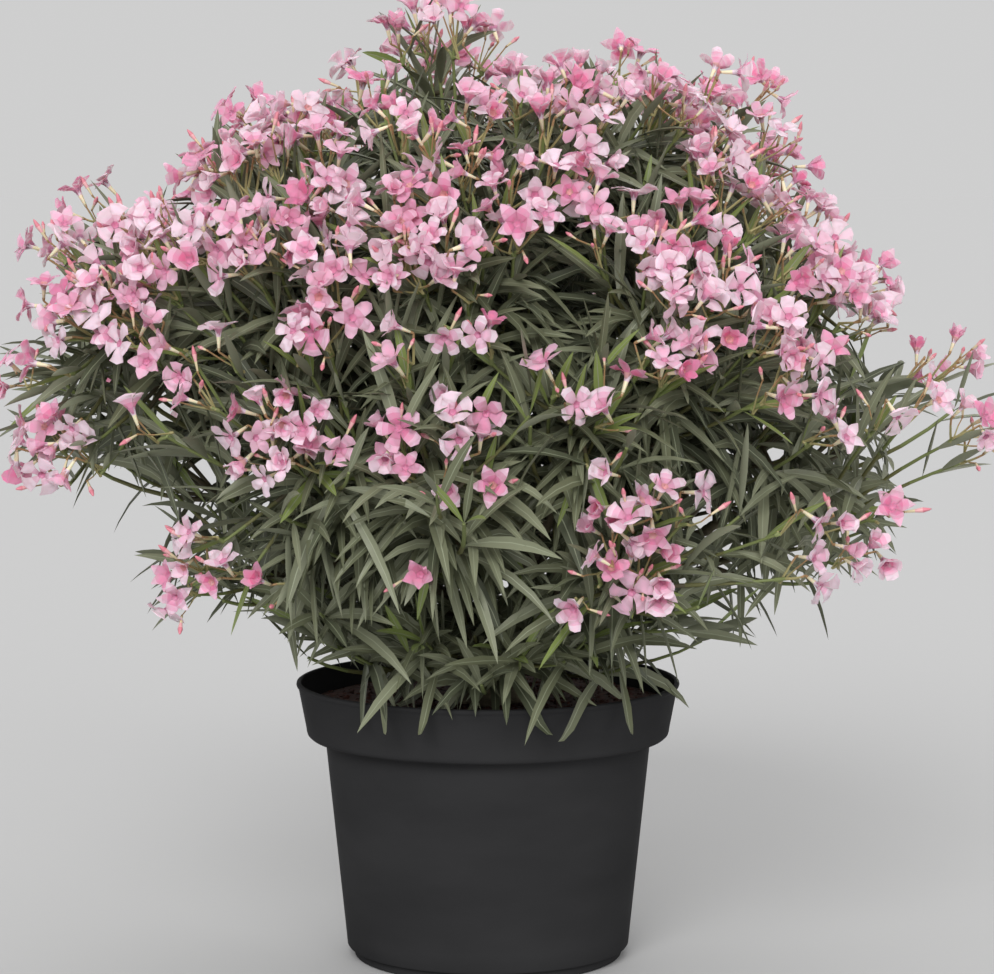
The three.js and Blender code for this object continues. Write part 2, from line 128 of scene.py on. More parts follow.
# Two directions square to each axis and to each other; u x v points along the axis.
def squareTo(axis):
    helper = np.where(np.abs(axis[..., 2:3]) < 0.95, up, np.array([1.0, 0.0, 0.0]))
    u = unit(np.cross(axis, helper))
    return u, unit(np.cross(axis, u))


def around(axis, angle):
    u, v = squareTo(axis)
    angle = np.asarray(angle, float)[..., None]
    return u * np.cos(angle) + v * np.sin(angle)


# Directions that lean out from an axis, each turned round it.
def leaning(axis, lean, turn):
    lean = lean[..., None]
    return axis * np.cos(lean) + around(axis, turn) * np.sin(lean)


# Points and tangents of curves (..., 3 control points, xyz) at shares (..., m).
def onCurve(curve, t):
    t = np.asarray(t, float)[..., None]
    a, b, c = (curve[..., i, None, :] for i in range(3))
    return (1 - t) ** 2 * a + 2 * t * (1 - t) * b + t * t * c


def tangentOf(curve, t):
    t = np.asarray(t, float)[..., None]
    a, b, c = (curve[..., i, None, :] for i in range(3))
    return unit((1 - t) * (b - a) + t * (c - b))


# Two directions square to a curve at its tangents, which don't twist along it.
def squareAlong(curve, tangent):
    across = unit(np.cross(squareTo(tangentOf(curve, [0.5]))[0], tangent))
    return np.cross(across, tangent), across


def onChord(curve, share, rings):
    ring = min(int(share * rings), rings - 1)
    ends = onCurve(curve, [ring / rings, (ring + 1) / rings])
    return mix(ends[0], ends[1], share * rings - ring)


# Limbs, boughs and the cores of the masses.
print("skeleton")
woodCurves = []  # control points, and the radii at the foot and the tip
masses = []
for limbName, fed in plant["limbs"].items():
    hearts = [placeAt(*place) for _, *place in fed]
    middle = np.mean(hearts, axis=0)
    tip = mix(foot, middle, plant["limbReach"])
    out = unit((middle - foot) * (1, 1, 0))
    base = foot + up * (plant["crownHeight"] - plant["crownSink"]) + out * plant["limbFoot"]
    limb = np.array([base, mix(base, tip, 0.5) + up * plant["limbLift"], tip])
    woodCurves.append((limb, plant["limbRadii"]))
    for k, (name, *_) in enumerate(fed):
        share = mix(plant["firstBough"], 1, k / (len(fed) - 1))
        start = onChord(limb, share, 3)
        end = mix(hearts[k], start, plant["massShare"])
        along = tangentOf(limb, [share])[0]
        elbow = mix(mix(start, end, 0.5), start + along * apart(start, end) * 0.5, plant["sweep"])
        if share < 1:
            start = start + asideOf(end - start, along) * plant["aside"]
        bough = np.array([start, elbow, end])
        woodCurves.append((bough, plant["boughRadii"]))
        masses.append({"name": name, "group": limbName, "heart": hearts[k], "start": end,
                       "leaving": tangentOf(bough, [1])[0], "shoots": 3, "skirt": False,
                       "bough": bough})
for name, turn, rise, reach, shoots in plant["skirts"]:
    start = foot + up * plant["crownHeight"] * 0.55 + heading(turn, 0) * plant["crownTop"] * 0.8
    masses.append({"name": name, "group": "skirts", "heart": placeAt(turn, rise, reach), "start": start,
                   "leaving": heading(turn, 30), "shoots": shoots, "skirt": True})
for i, mass in enumerate(masses):
    nearest = min(apart(mass["heart"], m["heart"]) for m in masses if m is not mass)
    least, most = plant["skirtSpread" if mass["skirt"] else "spread"]
    mass["spread"] = min(max(nearest * 0.5 - plant["spreadLess"], least), most)
    mass["axis"] = unit(mass["heart"] - mass["start"])
    mass["index"] = i

# The solids' own shoots, and finer ones by the same rule.
twig = {
    "outer": (4, 3),       # more leafy shoots round each heart, and round a skirt's
    "inner": (4, 3),       # side shoots from each stem and bough, and from a skirt's
    "innerLength": (0.13, 0.20),
    "backHeads": 64, "topHeads": 96,
    "stemRadius": (0.0045, 0.0036), "shootRadius": (0.0032, 0.0018), "fineRadius": (0.0026, 0.0015),
    "heartRadius": (0.0036, 0.0018),
    "sides": 6, "rings": 6,
    "headRoom": 0.10, "leafRoom": 0.05,  # what a head or a tuft of leaves stands up
    "frontHead": 0.16,     # a mass with a mapped head as near as this bears none of its own at the front
    "headStand": 0.045,    # from a twig's tip to the middle of its head
    "inside": 0.035,       # of a head, from the box that the model keeps to
    "underDome": (0.025, 0.045),         # of a head, at the front and elsewhere
    "farHead": 0.36, "farHeart": 0.33,   # a head as far out as this is borne by a mass that is far out too
    "farShare": (0.65, 0.98), "headShare": (0.1, 0.8), "tuftShare": (0.2, 0.6),  # of the stem, to the fork
}

# The heads of blossom that stand at the front of the crown: turn, rise, reach in centimetres, blooms.
flowerHeads = [
    (209, 49, 70, 2), (212, 51, 70, 1), (209, 46, 68, 4), (204, 45, 69, 2), (216, 44, 65, 5), (214, 41, 64, 5),
    (219, 43, 63, 5), (223, 41, 61, 5), (208, 41, 66, 2), (210, 37, 63, 1), (205, 35, 63, 2), (208, 30, 59, 4),
    (212, 32, 58, 4), (213, 30, 56, 3), (209, 28, 57, 2), (224, 20, 45, 3), (228, 26, 48, 1), (231, 23, 45, 2),
    (238, 22, 43, 1), (226, 24, 46, 2), (258, 44, 56, 1), (258, 46, 57, 1), (264, 46, 57, 1), (257, 38, 51, 3),
    (258, 35, 49, 2), (267, 40, 52, 3), (267, 38, 51, 2), (271, 35, 48, 1), (264, 34, 48, 1), (259, 26, 42, 1),
    (248, 46, 58, 4), (244, 45, 58, 2), (223, 35, 57, 1), (230, 39, 57, 2), (233, 43, 59, 1), (238, 36, 53, 4),
    (242, 39, 54, 4), (242, 35, 51, 4), (246, 38, 53, 2), (246, 35, 51, 2), (250, 37, 51, 1), (229, 60, 71, 4),
    (235, 61, 70, 4), (235, 58, 69, 4), (243, 60, 68, 4), (226, 56, 69, 4), (231, 56, 68, 4), (219, 49, 67, 5),
    (222, 50, 67, 4), (222, 46, 64, 3), (228, 49, 65, 5), (233, 51, 65, 4), (236, 49, 63, 3), (241, 53, 65, 5),
    (238, 51, 63, 4), (245, 56, 66, 4), (247, 51, 62, 5), (249, 49, 60, 4), (227, 42, 60, 1), (289, 31, 47, 4),
    (287, 28, 45, 4), (293, 26, 44, 4), (292, 23, 42, 2), (286, 25, 43, 1), (295, 32, 49, 1), (299, 31, 49, 1),
    (283, 23, 40, 1), (313, 27, 51, 1), (315, 22, 48, 2), (269, 46, 57, 2), (278, 43, 55, 1), (281, 41, 53, 1),
    (288, 42, 55, 1), (286, 39, 53, 1), (285, 35, 50, 1), (293, 44, 57, 3), (296, 42, 57, 3), (305, 61, 71, 2),
    (320, 61, 73, 3), (316, 58, 71, 2), (305, 57, 68, 4), (307, 54, 67, 2), (287, 55, 65, 4), (286, 53, 63, 2),
    (293, 51, 63, 4), (299, 53, 65, 4), (296, 49, 62, 4), (296, 47, 61, 3), (302, 50, 64, 3), (303, 47, 62, 4),
    (301, 46, 61, 1), (311, 52, 67, 4), (315, 52, 68, 4), (317, 49, 67, 5), (313, 47, 65, 5), (317, 45, 65, 4),
    (322, 44, 66, 4), (319, 42, 64, 2), (300, 43, 58, 2), (309, 42, 60, 4), (311, 39, 59, 4), (308, 43, 60, 2),
    (308, 38, 57, 2), (315, 40, 61, 1), (248, 71, 74, 2), (270, 71, 73, 2), (242, 66, 72, 2), (249, 65, 71, 2),
    (254, 62, 69, 4), (261, 61, 68, 2), (269, 63, 69, 4), (277, 65, 71, 5), (286, 66, 71, 5), (291, 63, 70, 4),
    (282, 62, 69, 4), (249, 54, 64, 4), (255, 55, 64, 4), (258, 52, 62, 4), (261, 56, 65, 4), (264, 53, 62, 5),
    (260, 51, 60, 4), (267, 59, 66, 4), (274, 57, 65, 4), (275, 54, 63, 3), (270, 54, 63, 2), (267, 50, 60, 1),
    (281, 58, 66, 4), (286, 58, 67, 3), (322, 22, 50, 3), (322, 41, 64, 2), (315, 34, 56, 2), (323, 34, 59, 1),
    (328, 34, 61, 2), (332, 36, 65, 3), (334, 31, 62, 3), (337, 29, 61, 2), (318, 25, 51, 2), (325, 26, 54, 1),
    (261, 73, 74, 4), (299, 67, 73, 2), (302, 64, 72, 3), (314, 63, 73, 2),
]

# Leafy tips without blossom that lean over the rim or stand clear at the sides: turn, rise, reach in
# millimetres.
tufts = [
    (254, 23, 243), (294, 22, 254), (232, 19, 228), (275, 22, 216), (315, 18, 240), (224, 21, 248), (60, 22, 240),
    (120, 22, 240), (3, 40, 539), (8, 36, 561), (347, 33, 438), (0, 36, 468), (339, 37, 423), (187, 40, 578),
    (193, 38, 571), (192, 36, 480), (307, 64, 571), (180, 81, 605), (7, 67, 673), (212, 27, 236), (200, 32, 240),
    (189, 34, 455), (197, 35, 421), (199, 36, 374),
]

crownMiddle = np.array([0.01, 0.0, 0.58])
outline = {  # distances from the middle, and the heights that the foliage keeps to there
    "topLeft": ([0, .03, .10, .15, .22, .31, .36, .41, .45, .49, .53],
                [1.0, 1.04, 1.03, .945, .925, .875, .80, .82, .79, .75, .60]),
    "topRight": ([0, .05, .10, .14, .20, .27, .33, .38, .42, .45, .56],
                 [1.0, .935, .94, .98, .96, .95, .84, .77, .715, .665, .655]),
    "underLeft": ([.20, .22, .27, .35, .41, .455, .52], [.25, .28, .32, .345, .41, .48, .515]),
    "underRight": ([.20, .23, .29, .35, .42, .45, .47, .56], [.25, .28, .305, .335, .395, .475, .515, .535]),
    "leafShare": ([.55, .8, 1.0, 1.12], [1, .7, .45, .25]),  # share of leaves kept, towards the surface
    "twigShare": ([.5, .68, .85, 1.0], [1, .7, .35, .12]),  # and of fine twigs
    "radii": (.53, .47, .44), "middle": (0, 0, .60),
    # where sky shows through from the front: x, z and radius at the shrub's middle in millimetres, and
    # where it is seen from
    "seenFrom": (0.0095, -3.5, 0.83),
    "openings": [(447, 649, 26), (323, 351, 23), (-351, 448, 20), (367, 380, 20), (211, 939, 19), (-243, 336, 19),
                 (438, 519, 17), (6, 933, 17), (-488, 661, 17), (408, 632, 17), (-384, 494, 16), (-381, 796, 15),
                 (-457, 492, 15), (-310, 349, 15), (214, 292, 15), (120, 952, 14), (-463, 715, 14), (-397, 467, 14),
                 (-218, 313, 14), (386, 754, 14), (308, 849, 13), (-298, 505, 13), (-415, 481, 13), (-385, 431, 13),
                 (66, 946, 12), (506, 597, 12), (201, 313, 12), (264, 942, 12), (304, 894, 12), (-319, 806, 12),
                 (-412, 777, 12), (366, 669, 12), (475, 617, 12), (-335, 571, 12), (434, 548, 12), (452, 546, 12),
                 (300, 525, 12), (-297, 370, 12), (-287, 334, 12), (-174, 294, 12), (-117, 954, 11), (147, 911, 11),
                 (344, 532, 11), (174, 317, 11), (-140, 911, 10), (-236, 494, 10), (228, 458, 10), (243, 364, 10),
                 (292, 321, 10), (354, 796, 10), (-461, 659, 10)],
}


def fromMiddle(points):
    return np.hypot(points[..., 0], points[..., 1])


# The lowest and highest foliage at a place, between the crown's left and right outlines.
def crownAt(points):
    r = fromMiddle(points)
    right = 0.5 + 0.5 * points[..., 0] / np.maximum(r, 1e-6)
    return [mix(np.interp(r, *outline[a]), np.interp(r, *outline[b]), right)
            for a, b in (("underLeft", "underRight"), ("topLeft", "topRight"))]


# How far each place is from the nearest opening's rim, less than nothing inside it.
def openness(points):
    eye = np.array(outline["seenFrom"])
    flat = eye + (points - eye) * (-eye[1] / (points[..., 1:2] - eye[1]))
    clear = np.full(flat.shape[:-1], 1.0)
    for x, z, radius in outline["openings"]:
        away = np.hypot(flat[..., 0] - x / 1000, flat[..., 2] - z / 1000)
        clear = np.minimum(clear, away - radius / 1000)
    return clear


def depthAt(points):  # 0 in the crown's middle, 1 at its surface
    return np.linalg.norm((points - outline["middle"]) / outline["radii"], axis=-1)


def isKept(tip, *keys):
    return seeded(*keys) < np.interp(depthAt(tip), *outline["twigShare"]) and openness(tip) > 0


# Where a ray from the shrub's foot leaves the crown.
def surfaceAt(turn, rise):
    way = heading(turn, rise) / outline["radii"]
    start = (foot - outline["middle"]) / outline["radii"]
    b, c = way @ start, start @ start - 1
    return (-b + math.sqrt(b * b - (way @ way) * c)) / (way @ way)


reachLow = np.array(cadBox[0]) - 0.03
reachHigh = np.array(cadBox[1]) + 0.03
twigs = []  # each: curve, radii, group, leaves from and to, the head it ends in


def addTwig(mass, start, tip, sideways, radii, blooms=0, headAt=None, old=False, sure=False):
    if headAt is None and not sure:
        room = twig["headRoom" if blooms else "leafRoom"]
        tip = np.append(tip[:2], min(tip[2], crownAt(tip)[1] - room))
    if headAt is None and not mass["skirt"] and tip[2] < crownAt(tip)[0] + 0.03:
        return
    length = apart(tip, start)
    sag = plant["sag"] if headAt is None else 0.02  # a twig in flower stands straighter
    elbow = mix(start, tip, 0.55) - up * sag * length + sideways * plant["bow"] * length
    twigs.append({"curve": np.array([start, elbow, tip]), "radii": radii, "mass": mass,
                  "blooms": blooms, "headAt": headAt, "length": length,
                  "old": old, "sure": sure, "key": len(twigs)})


def headAxis(place, sideways):
    return unit(unit(place - crownMiddle) * 0.7 + up * 0.45 + sideways * 0.2)


def nearestTo(place, among):
    return min(among, key=lambda m: apart(place, m["heart"]))


# A point moved a little on each axis, by seeds from the first one on.
def shifted(point, most, i, k, first):
    return point + [(seeded(i, k, first + c) * 2 - 1) * most for c in range(3)]


flowerHeads = [(turn, rise, reach / 100, blooms) for turn, rise, reach, blooms in flowerHeads]
for mass in masses:
    i, start, heart, axis, spread = (mass[key] for key in ("index", "start", "heart", "axis", "spread"))
    forkEnd = mix(start, heart, plant["fork"] * 1.15)
    mass["stem"] = np.array([start, start + mass["leaving"] * apart(forkEnd, start) * 0.5, forkEnd])
    forkAt = mix(start, heart, plant["fork"])
    phase = seeded(i, 1) * fullTurn
    facesFront = any(apart(placeAt(*head[:3]), heart) < twig["frontHead"] for head in flowerHeads)
    behind = 0.10 if facesFront else 0.03  # its own heads stand farther back than this
    for k in range(mass["shoots"]):
        sideways = around(axis, phase + k * fullTurn / mass["shoots"])
        tip = shifted(heart + sideways * spread - axis * plant["dome"] * spread, plant["jitter"], i, k, 2)
        bears = 0 if mass["skirt"] or tip[1] < behind else 3 + int(seeded(i, k, 11) * 4)
        addTwig(mass, forkAt, tip, sideways, twig["shootRadius"], bears)
    outer, inner = twig["outer"][mass["skirt"]], twig["inner"][mass["skirt"]]
    for k in range(outer):
        sideways = around(axis, phase + 0.9 + k * goldenTurn)
        fork = mix(start, heart, mix(0.25, 0.75, k / max(outer - 1, 1)))
        tip = heart + sideways * spread * mix(0.7, 1.5, seeded(i, k, 21)) + axis * 0.02
        tip = shifted(tip, 0.03, i, k, 22)
        bears = 0
        if not mass["skirt"] and tip[1] > behind and seeded(i, k, 25) < 0.4:
            bears = 2 + int(seeded(i, k, 26) * 3)
        if mass["skirt"] or isKept(tip, i, k, 27):
            addTwig(mass, fork, tip, sideways, twig["fineRadius"], bears)
    for k in range(inner):
        share = mix(-0.5, 0.6, k / max(inner - 1, 1))
        if share < 0 and "bough" in mass:
            fork = onCurve(mass["bough"], [1 + share])[0]
        else:
            fork = mix(start, heart, max(share, 0.05))
        sideways = around(axis, phase + 2.1 + k * goldenTurn)
        reach = mix(*twig["innerLength"], seeded(i, k, 31)) * (0.7 if mass["skirt"] else 1)
        tip = fork + unit(axis * 0.55 + sideways * 0.85 + up * 0.25) * reach
        if mass["skirt"] or isKept(tip, i, k, 32):
            addTwig(mass, fork, tip, sideways, twig["fineRadius"], old=True)

mapped = len(flowerHeads)
for k in range(twig["backHeads"]):  # the far side flowers as the front does, most of all up high
    turn = mix(20, 160, (k * goldenShare) % 1)
    rise = mix(26, 76, ((k + 0.5) / twig["backHeads"]) ** 0.5)
    reach = surfaceAt(turn, rise) * mix(0.94, 1.0, seeded(k, 51))
    flowerHeads.append((turn, rise, reach, 2 + int(seeded(k, 52) * 4)))
# more on top of the crown and down its two sides
for k in range(twig["topHeads"]):
    turn = math.radians(mix(-42, 222, (k * goldenShare) % 1))
    r = mix(0.03, 0.40, seeded(k, 54) ** 0.85)
    place = np.array([math.cos(turn) * r, math.sin(turn) * r, 0])
    if place[1] < 0.12 or r < 0.2:
        place[2] = crownAt(place)[1] - mix(0.045, 0.075, seeded(k, 55))
        away = place - foot
        reach = np.linalg.norm(away)
        rise = math.degrees(math.asin(away[2] / reach))
        flowerHeads.append((math.degrees(turn), rise, reach, 2 + int(seeded(k, 56) * 4)))
flowering = [m for m in masses if not m["skirt"]]
for k, (turn, rise, reach, blooms) in enumerate(flowerHeads):
    place = np.clip(placeAt(turn, rise, reach), reachLow + twig["inside"], reachHigh - twig["inside"])
    if k < mapped:  # slides back to the dome, in line with where it is seen from
        line = unit(place - outline["seenFrom"])
        while place[2] > crownAt(place)[1] - twig["underDome"][0] and place[1] < 0.05:
            place = place + line * 0.01
    else:
        place[2] = min(place[2], crownAt(place)[1] - twig["underDome"][1])
        if openness(place) < 0.018:
            continue
    farOut = bool(abs(place[0]) > twig["farHead"])
    mass = nearestTo(place, [m for m in flowering if not farOut or abs(m["heart"][0]) > twig["farHeart"]])
    share = mix(*twig["farShare" if farOut else "headShare"], seeded(k, 41))
    fork = mix(mass["start"], mass["heart"], share)
    sideways = asideOf(place - fork, mass["axis"])
    tip = place - headAxis(place, sideways) * twig["headStand"]
    addTwig(mass, fork, tip, sideways, twig["fineRadius"], blooms, place, sure=farOut)
for k, (turn, rise, reach) in enumerate(tufts):
    place = placeAt(turn, rise, reach / 1000)
    mass = nearestTo(place, masses)
    fork = mix(mass["start"], mass["heart"], mix(*twig["tuftShare"], seeded(k, 43)))
    addTwig(mass, fork, place, asideOf(place - fork, mass["axis"]), twig["fineRadius"], sure=True)

print(len(masses), "masses,", len(twigs), "twigs")


def newPile():
    return {"points": [], "quads": [], "quadSlots": [], "tris": [], "triSlots": [], "count": 0}


# Adds n copies of a shape: points (n, k, 3), its faces, and a slot for each face of each copy.
def pileOn(pile, points, quads, quadSlots, tris, triSlots):
    n, k = points.shape[:2]
    first = pile["count"] + np.arange(n)[:, None, None] * k
    pile["points"].append(points.reshape(-1, 3))
    for kind, faces, slots in (("quad", quads, quadSlots), ("tri", tris, triSlots)):
        if len(faces):
            faces = np.asarray(faces)
            pile[kind + "s"].append((faces[None] + first).reshape(-1, faces.shape[1]))
            pile[kind + "Slots"].append(np.broadcast_to(slots, (n, len(faces))).reshape(-1))
    pile["count"] += n * k


# Faces of a closed sleeve: a foot point, rings of corners up to the tip, and a tip point.
def sleeve(rings, sides):
    quads, tris = [], []
    tip = 1 + rings * sides
    for s in range(sides):
        b = (s + 1) % sides
        tris += [(0, 1 + b, 1 + s), (tip, tip - sides + s, tip - sides + b)]
    for low in range(1, tip - sides, sides):
        for s in range(sides):
            b = (s + 1) % sides
            quads.append((low + s, low + b, low + sides + b, low + sides + s))
    return np.array(quads), np.array(tris)


# Adds closed sleeves with a slot for each band of faces, from the foot to the tip.
def sleevesOn(pile, rows, sides, slots):
    points = np.concatenate(rows, axis=1)
    quads, tris = sleeve((points.shape[1] - 2) // sides, sides)
    slots = np.atleast_2d(slots)
    pileOn(pile, points, quads, np.repeat(slots[:, 1:-1], sides, axis=1),
           tris, np.tile(slots[:, [0, -1]], (1, sides)))


# Straight sleeves: each row of the profile is a level on the axis and a radius, as shares.
def spindlesOn(pile, places, axes, lengths, radii, sides, profile, slots):
    ring = around(axes[:, None], np.arange(sides) * fullTurn / sides) * radii[:, None, None]
    ways = (axes * lengths[:, None])[:, None]
    rows = [places[:, None] + ways * level + (ring * thick if thick else 0) for level, thick in profile]
    sleevesOn(pile, rows, sides, slots)


# Sleeves along curves, with the slots dealt out evenly from foot to tip.
def tubesOn(pile, curves, radii, sides, rings, slots):
    curves = np.asarray(curves, float)
    t = np.linspace(0, 1, rings + 1)
    line = onCurve(curves, t)
    outward, across = squareAlong(curves, tangentOf(curves, t))
    radii = np.asarray(radii, float).reshape(-1, 2)
    thick = mix(radii[:, :1], radii[:, 1:], t)[..., None, None]
    angle = (np.arange(sides) * fullTurn / sides)[:, None]
    ring = outward[:, :, None] * np.cos(angle) + across[:, :, None] * np.sin(angle)
    points = (line[:, :, None] + ring * thick).reshape(len(curves), -1, 3)
    bands = [slots[int(r / rings * len(slots))] for r in range(rings)]
    sleevesOn(pile, [line[:, :1], points, line[:, -1:]], sides, [slots[0], *bands, slots[-1]])


def linked(name, data):
    thing = bpy.data.objects.new(name, data)
    bpy.context.scene.collection.objects.link(thing)
    return thing


def meshFrom(name, pile, materials, smooth=True):
    points = np.concatenate(pile["points"]).astype(np.float32)
    quads = np.concatenate(pile["quads"]) if pile["quads"] else np.zeros((0, 4), int)
    tris = np.concatenate(pile["tris"]) if pile["tris"] else np.zeros((0, 3), int)
    slots = np.concatenate(pile["quadSlots"] + pile["triSlots"])
    corners = np.concatenate([quads.reshape(-1), tris.reshape(-1)]).astype(np.int32)
    starts = np.append(np.arange(len(quads)) * 4, len(quads) * 4 + np.arange(len(tris)) * 3).astype(np.int32)
    mesh = bpy.data.meshes.new(name)
    for part, key, values in ((mesh.vertices, "co", points), (mesh.loops, "vertex_index", corners),
                              (mesh.polygons, "loop_start", starts)):
        part.add(len(values))
        part.foreach_set(key, values.reshape(-1))
    for material in materials:
        mesh.materials.append(material)
    mesh.polygons.foreach_set("material_index", slots.astype(np.int32))
    mesh.polygons.foreach_set("use_smooth", np.full(len(starts), smooth))
    mesh.update()
    mesh.validate()
    mesh.set_sharp_from_angle(angle=math.radians(80))  # thin blades keep crisp edges
    return linked(name, mesh)


print("finishes")


def linear(hexColour):
    values = [int(hexColour[i:i + 2], 16) / 255 for i in (0, 2, 4)]
    return [v / 12.92 if v <= 0.04045 else ((v + 0.055) / 1.055) ** 2.4 for v in values] + [1]


def setInputs(node, values):
    for socket, value in values.items():
        node.inputs[socket.replace("_", " ")].default_value = value


def addNode(tree, kind, **values):
    node = tree.nodes.new("ShaderNode" + kind)
    setInputs(node, values)
    return node


def wire(source, output, target, socket):
    source.id_data.links.new(source.outputs[output], target.inputs[socket])


# A material with values on its shader's own sockets, and where its patterns take their place from.
def newMaterial(name, **values):
    material = bpy.data.materials.new(name)
    material.use_nodes = True
    shader = material.node_tree.nodes["Principled BSDF"]
    setInputs(shader, values)
    return material, shader, addNode(material.node_tree, "TexCoord")


# Uneven sheen and a slight relief: Low and High are the ends of the roughness.
def makeMottle():
    group = bpy.data.node_groups.new("softMottle", "ShaderNodeTree")
    outside = group.interface
    outside.new_socket(name="Vector", in_out="INPUT", socket_type="NodeSocketVector")
    for name, value in (("Scale", 60), ("Low", 0.4), ("High", 0.6)):
        outside.new_socket(name=name, in_out="INPUT", socket_type="NodeSocketFloat").default_value = value
    for name in ("Roughness", "Height"):
        outside.new_socket(name=name, in_out="OUTPUT", socket_type="NodeSocketFloat")
    taken, given = group.nodes.new("NodeGroupInput"), group.nodes.new("NodeGroupOutput")
    noise = addNode(group, "TexNoise", Detail=4)
    spread = addNode(group, "MapRange", From_Min=0.3, From_Max=0.7)
    wire(taken, "Vector", noise, "Vector")
    wire(taken, "Scale", noise, "Scale")
    wire(noise, "Fac", spread, "Value")
    wire(taken, "Low", spread, "To Min")
    wire(taken, "High", spread, "To Max")
    wire(spread, "Result", given, "Roughness")
    wire(noise, "Fac", given, "Height")
    return group


mottle = makeMottle()


def addMottle(place, shader, **values):
    group = addNode(shader.id_data, "Group")
    group.node_tree = mottle
    setInputs(group, values)
    wire(place, "Object", group, "Vector")
    wire(group, "Roughness", shader, "Roughness")
    return group


# Colours the surface by noise between two tones; ends are the levels of the noise that show them in full.
def addTones(source, output, shader, scale, detail, ends, tones):
    noise = addNode(shader.id_data, "TexNoise", Scale=scale, Detail=detail)
    ramp = addNode(shader.id_data, "ValToRGB")
    for element, level, tone in zip(ramp.color_ramp.elements, ends, tones):
        element.position, element.color = level, linear(tone)
    wire(source, output, noise, "Vector")
    wire(noise, "Fac", ramp, "Fac")
    wire(ramp, "Color", shader, "Base Color")
    return noise


def addRelief(source, output, shader, strength, distance):
    bump = addNode(shader.id_data, "Bump", Strength=strength, Distance=distance)
    wire(source, output, bump, "Height")
    wire(bump, "Normal", shader, "Normal")


# Living surfaces, each of one plain colour with uneven sheen and fine relief.
def livingMaterials(colours, scale, low, high, relief, **values):
    made = []
    for name, colour in colours.items():
        material, shader, place = newMaterial(name, Base_Color=linear(colour), **values)
        addRelief(addMottle(place, shader, Scale=scale, Low=low, High=high), "Height", shader, relief, 0.001)
        made.append(material)
    return made


finishes = {
    # The first four leaf greens, darkest to palest, are one green in darker and paler copies: painted shade dealt
    # out by depth in the crown. The young, rib and underside greens are the leaf's own colours.
    "leaves": livingMaterials({"leafShadeDeep": "515642", "leafShade": "686c53", "leafMid": "797d64",
                               "leafPale": "80856e", "leafYoung": "7c8b4c", "leafRib": "8d937a",
                               "leafUnder": "828670"}, 90, 0.42, 0.62, 0.25),
    "twigs": livingMaterials({"twigWood": "5c5540", "twigOlive": "69693f", "twigGreen": "707a48"},
                             120, 0.5, 0.75, 0.5),
    "blooms": livingMaterials({"petalPale": "f0cad9", "petalSoft": "ebafc6", "petalRose": "e392b0",
                               "petalDeep": "db769b", "throatRose": "da84a5", "throatCoral": "e49b9c",
                               "tubeCream": "efdfbd"}, 160, 0.45, 0.7, 0.15, Subsurface_Weight=0.5,
                              Subsurface_Radius=(1, 0.6, 0.6), Subsurface_Scale=0.006),
    "buds": livingMaterials({"budRed": "db8492", "budPink": "eab0b2", "budCream": "e6d8b0"}, 160, 0.4, 0.6, 0.15),
    "stalks": livingMaterials({"stalkOlive": "a29a6a", "stalkRed": "a98861", "stalkGreen": "808a56"},
                              120, 0.5, 0.7, 0.3),
}
youngTint, ribTint, underTint = 4, 5, 6
deepestTint, throatTint, coralTint, tubeTint = 3, 4, 5, 6

leaf = {
    "length": 0.120, "width": 0.0113,
    "stations": (0, 0.1, 0.27, 0.48, 0.7, 0.89, 1),
    "shape": (0.40, 0.85, 1.0, 0.80, 0.40),  # half width at the five inner stations
    "fold": 0.26, "keel": 0.16, "ribHalf": 0.09, "ribLift": 0.02, "thickness": 0.0003,
    "spacing": 0.0170,      # between whorls of three
    "bare": 0.02,           # from the topmost whorl to the end of a twig that flowers
    "low": 0.12,            # share of the twig below the lowest whorl
    "leafy": 0.23,          # longest stretch with leaves, as older wood is bare
    "fullGrown": 0.16,      # from the tip to the first leaves of full size
    "splay": (24, 88),      # from the twig, at its tip and at its foot
    "droop": (0.2, 1.55),
    "clear": 0.022,         # to a head of blossom
    "kink": 0.012,          # most that a leaf is bent over the rim between two stations
    "margin": 0.004,        # from the box that the model keeps to, and from the crown's top
    "skirtSize": 1.2,
}
shields = [item["headAt"] + headAxis(item["headAt"], 0) * 0.020 for item in twigs if item["headAt"] is not None]
leafQuads, leafTris = sleeve(5, 5)
leafKinds = (0, 1, 0, 2, 2)  # blade, rib, blade, underside, underside
leafQuadKinds, leafTriKinds = np.tile(leafKinds, 4), np.repeat(leafKinds, 2)
rim = {  # the lowest level for foliage: over the soil, over the rim and then down outside it
    "radii": [0, 0.172, 0.186, 0.207, 0.218, 0.30], "levels": [0.270, 0.272, 0.296, 0.296, 0.272, 0.262],
    "bareSoil": (0.13, 0.2), "bareBelow": 0.305, "bareBeside": 0.115,
}


def lowestAt(points):
    return np.interp(fromMiddle(points), rim["radii"], rim["levels"])


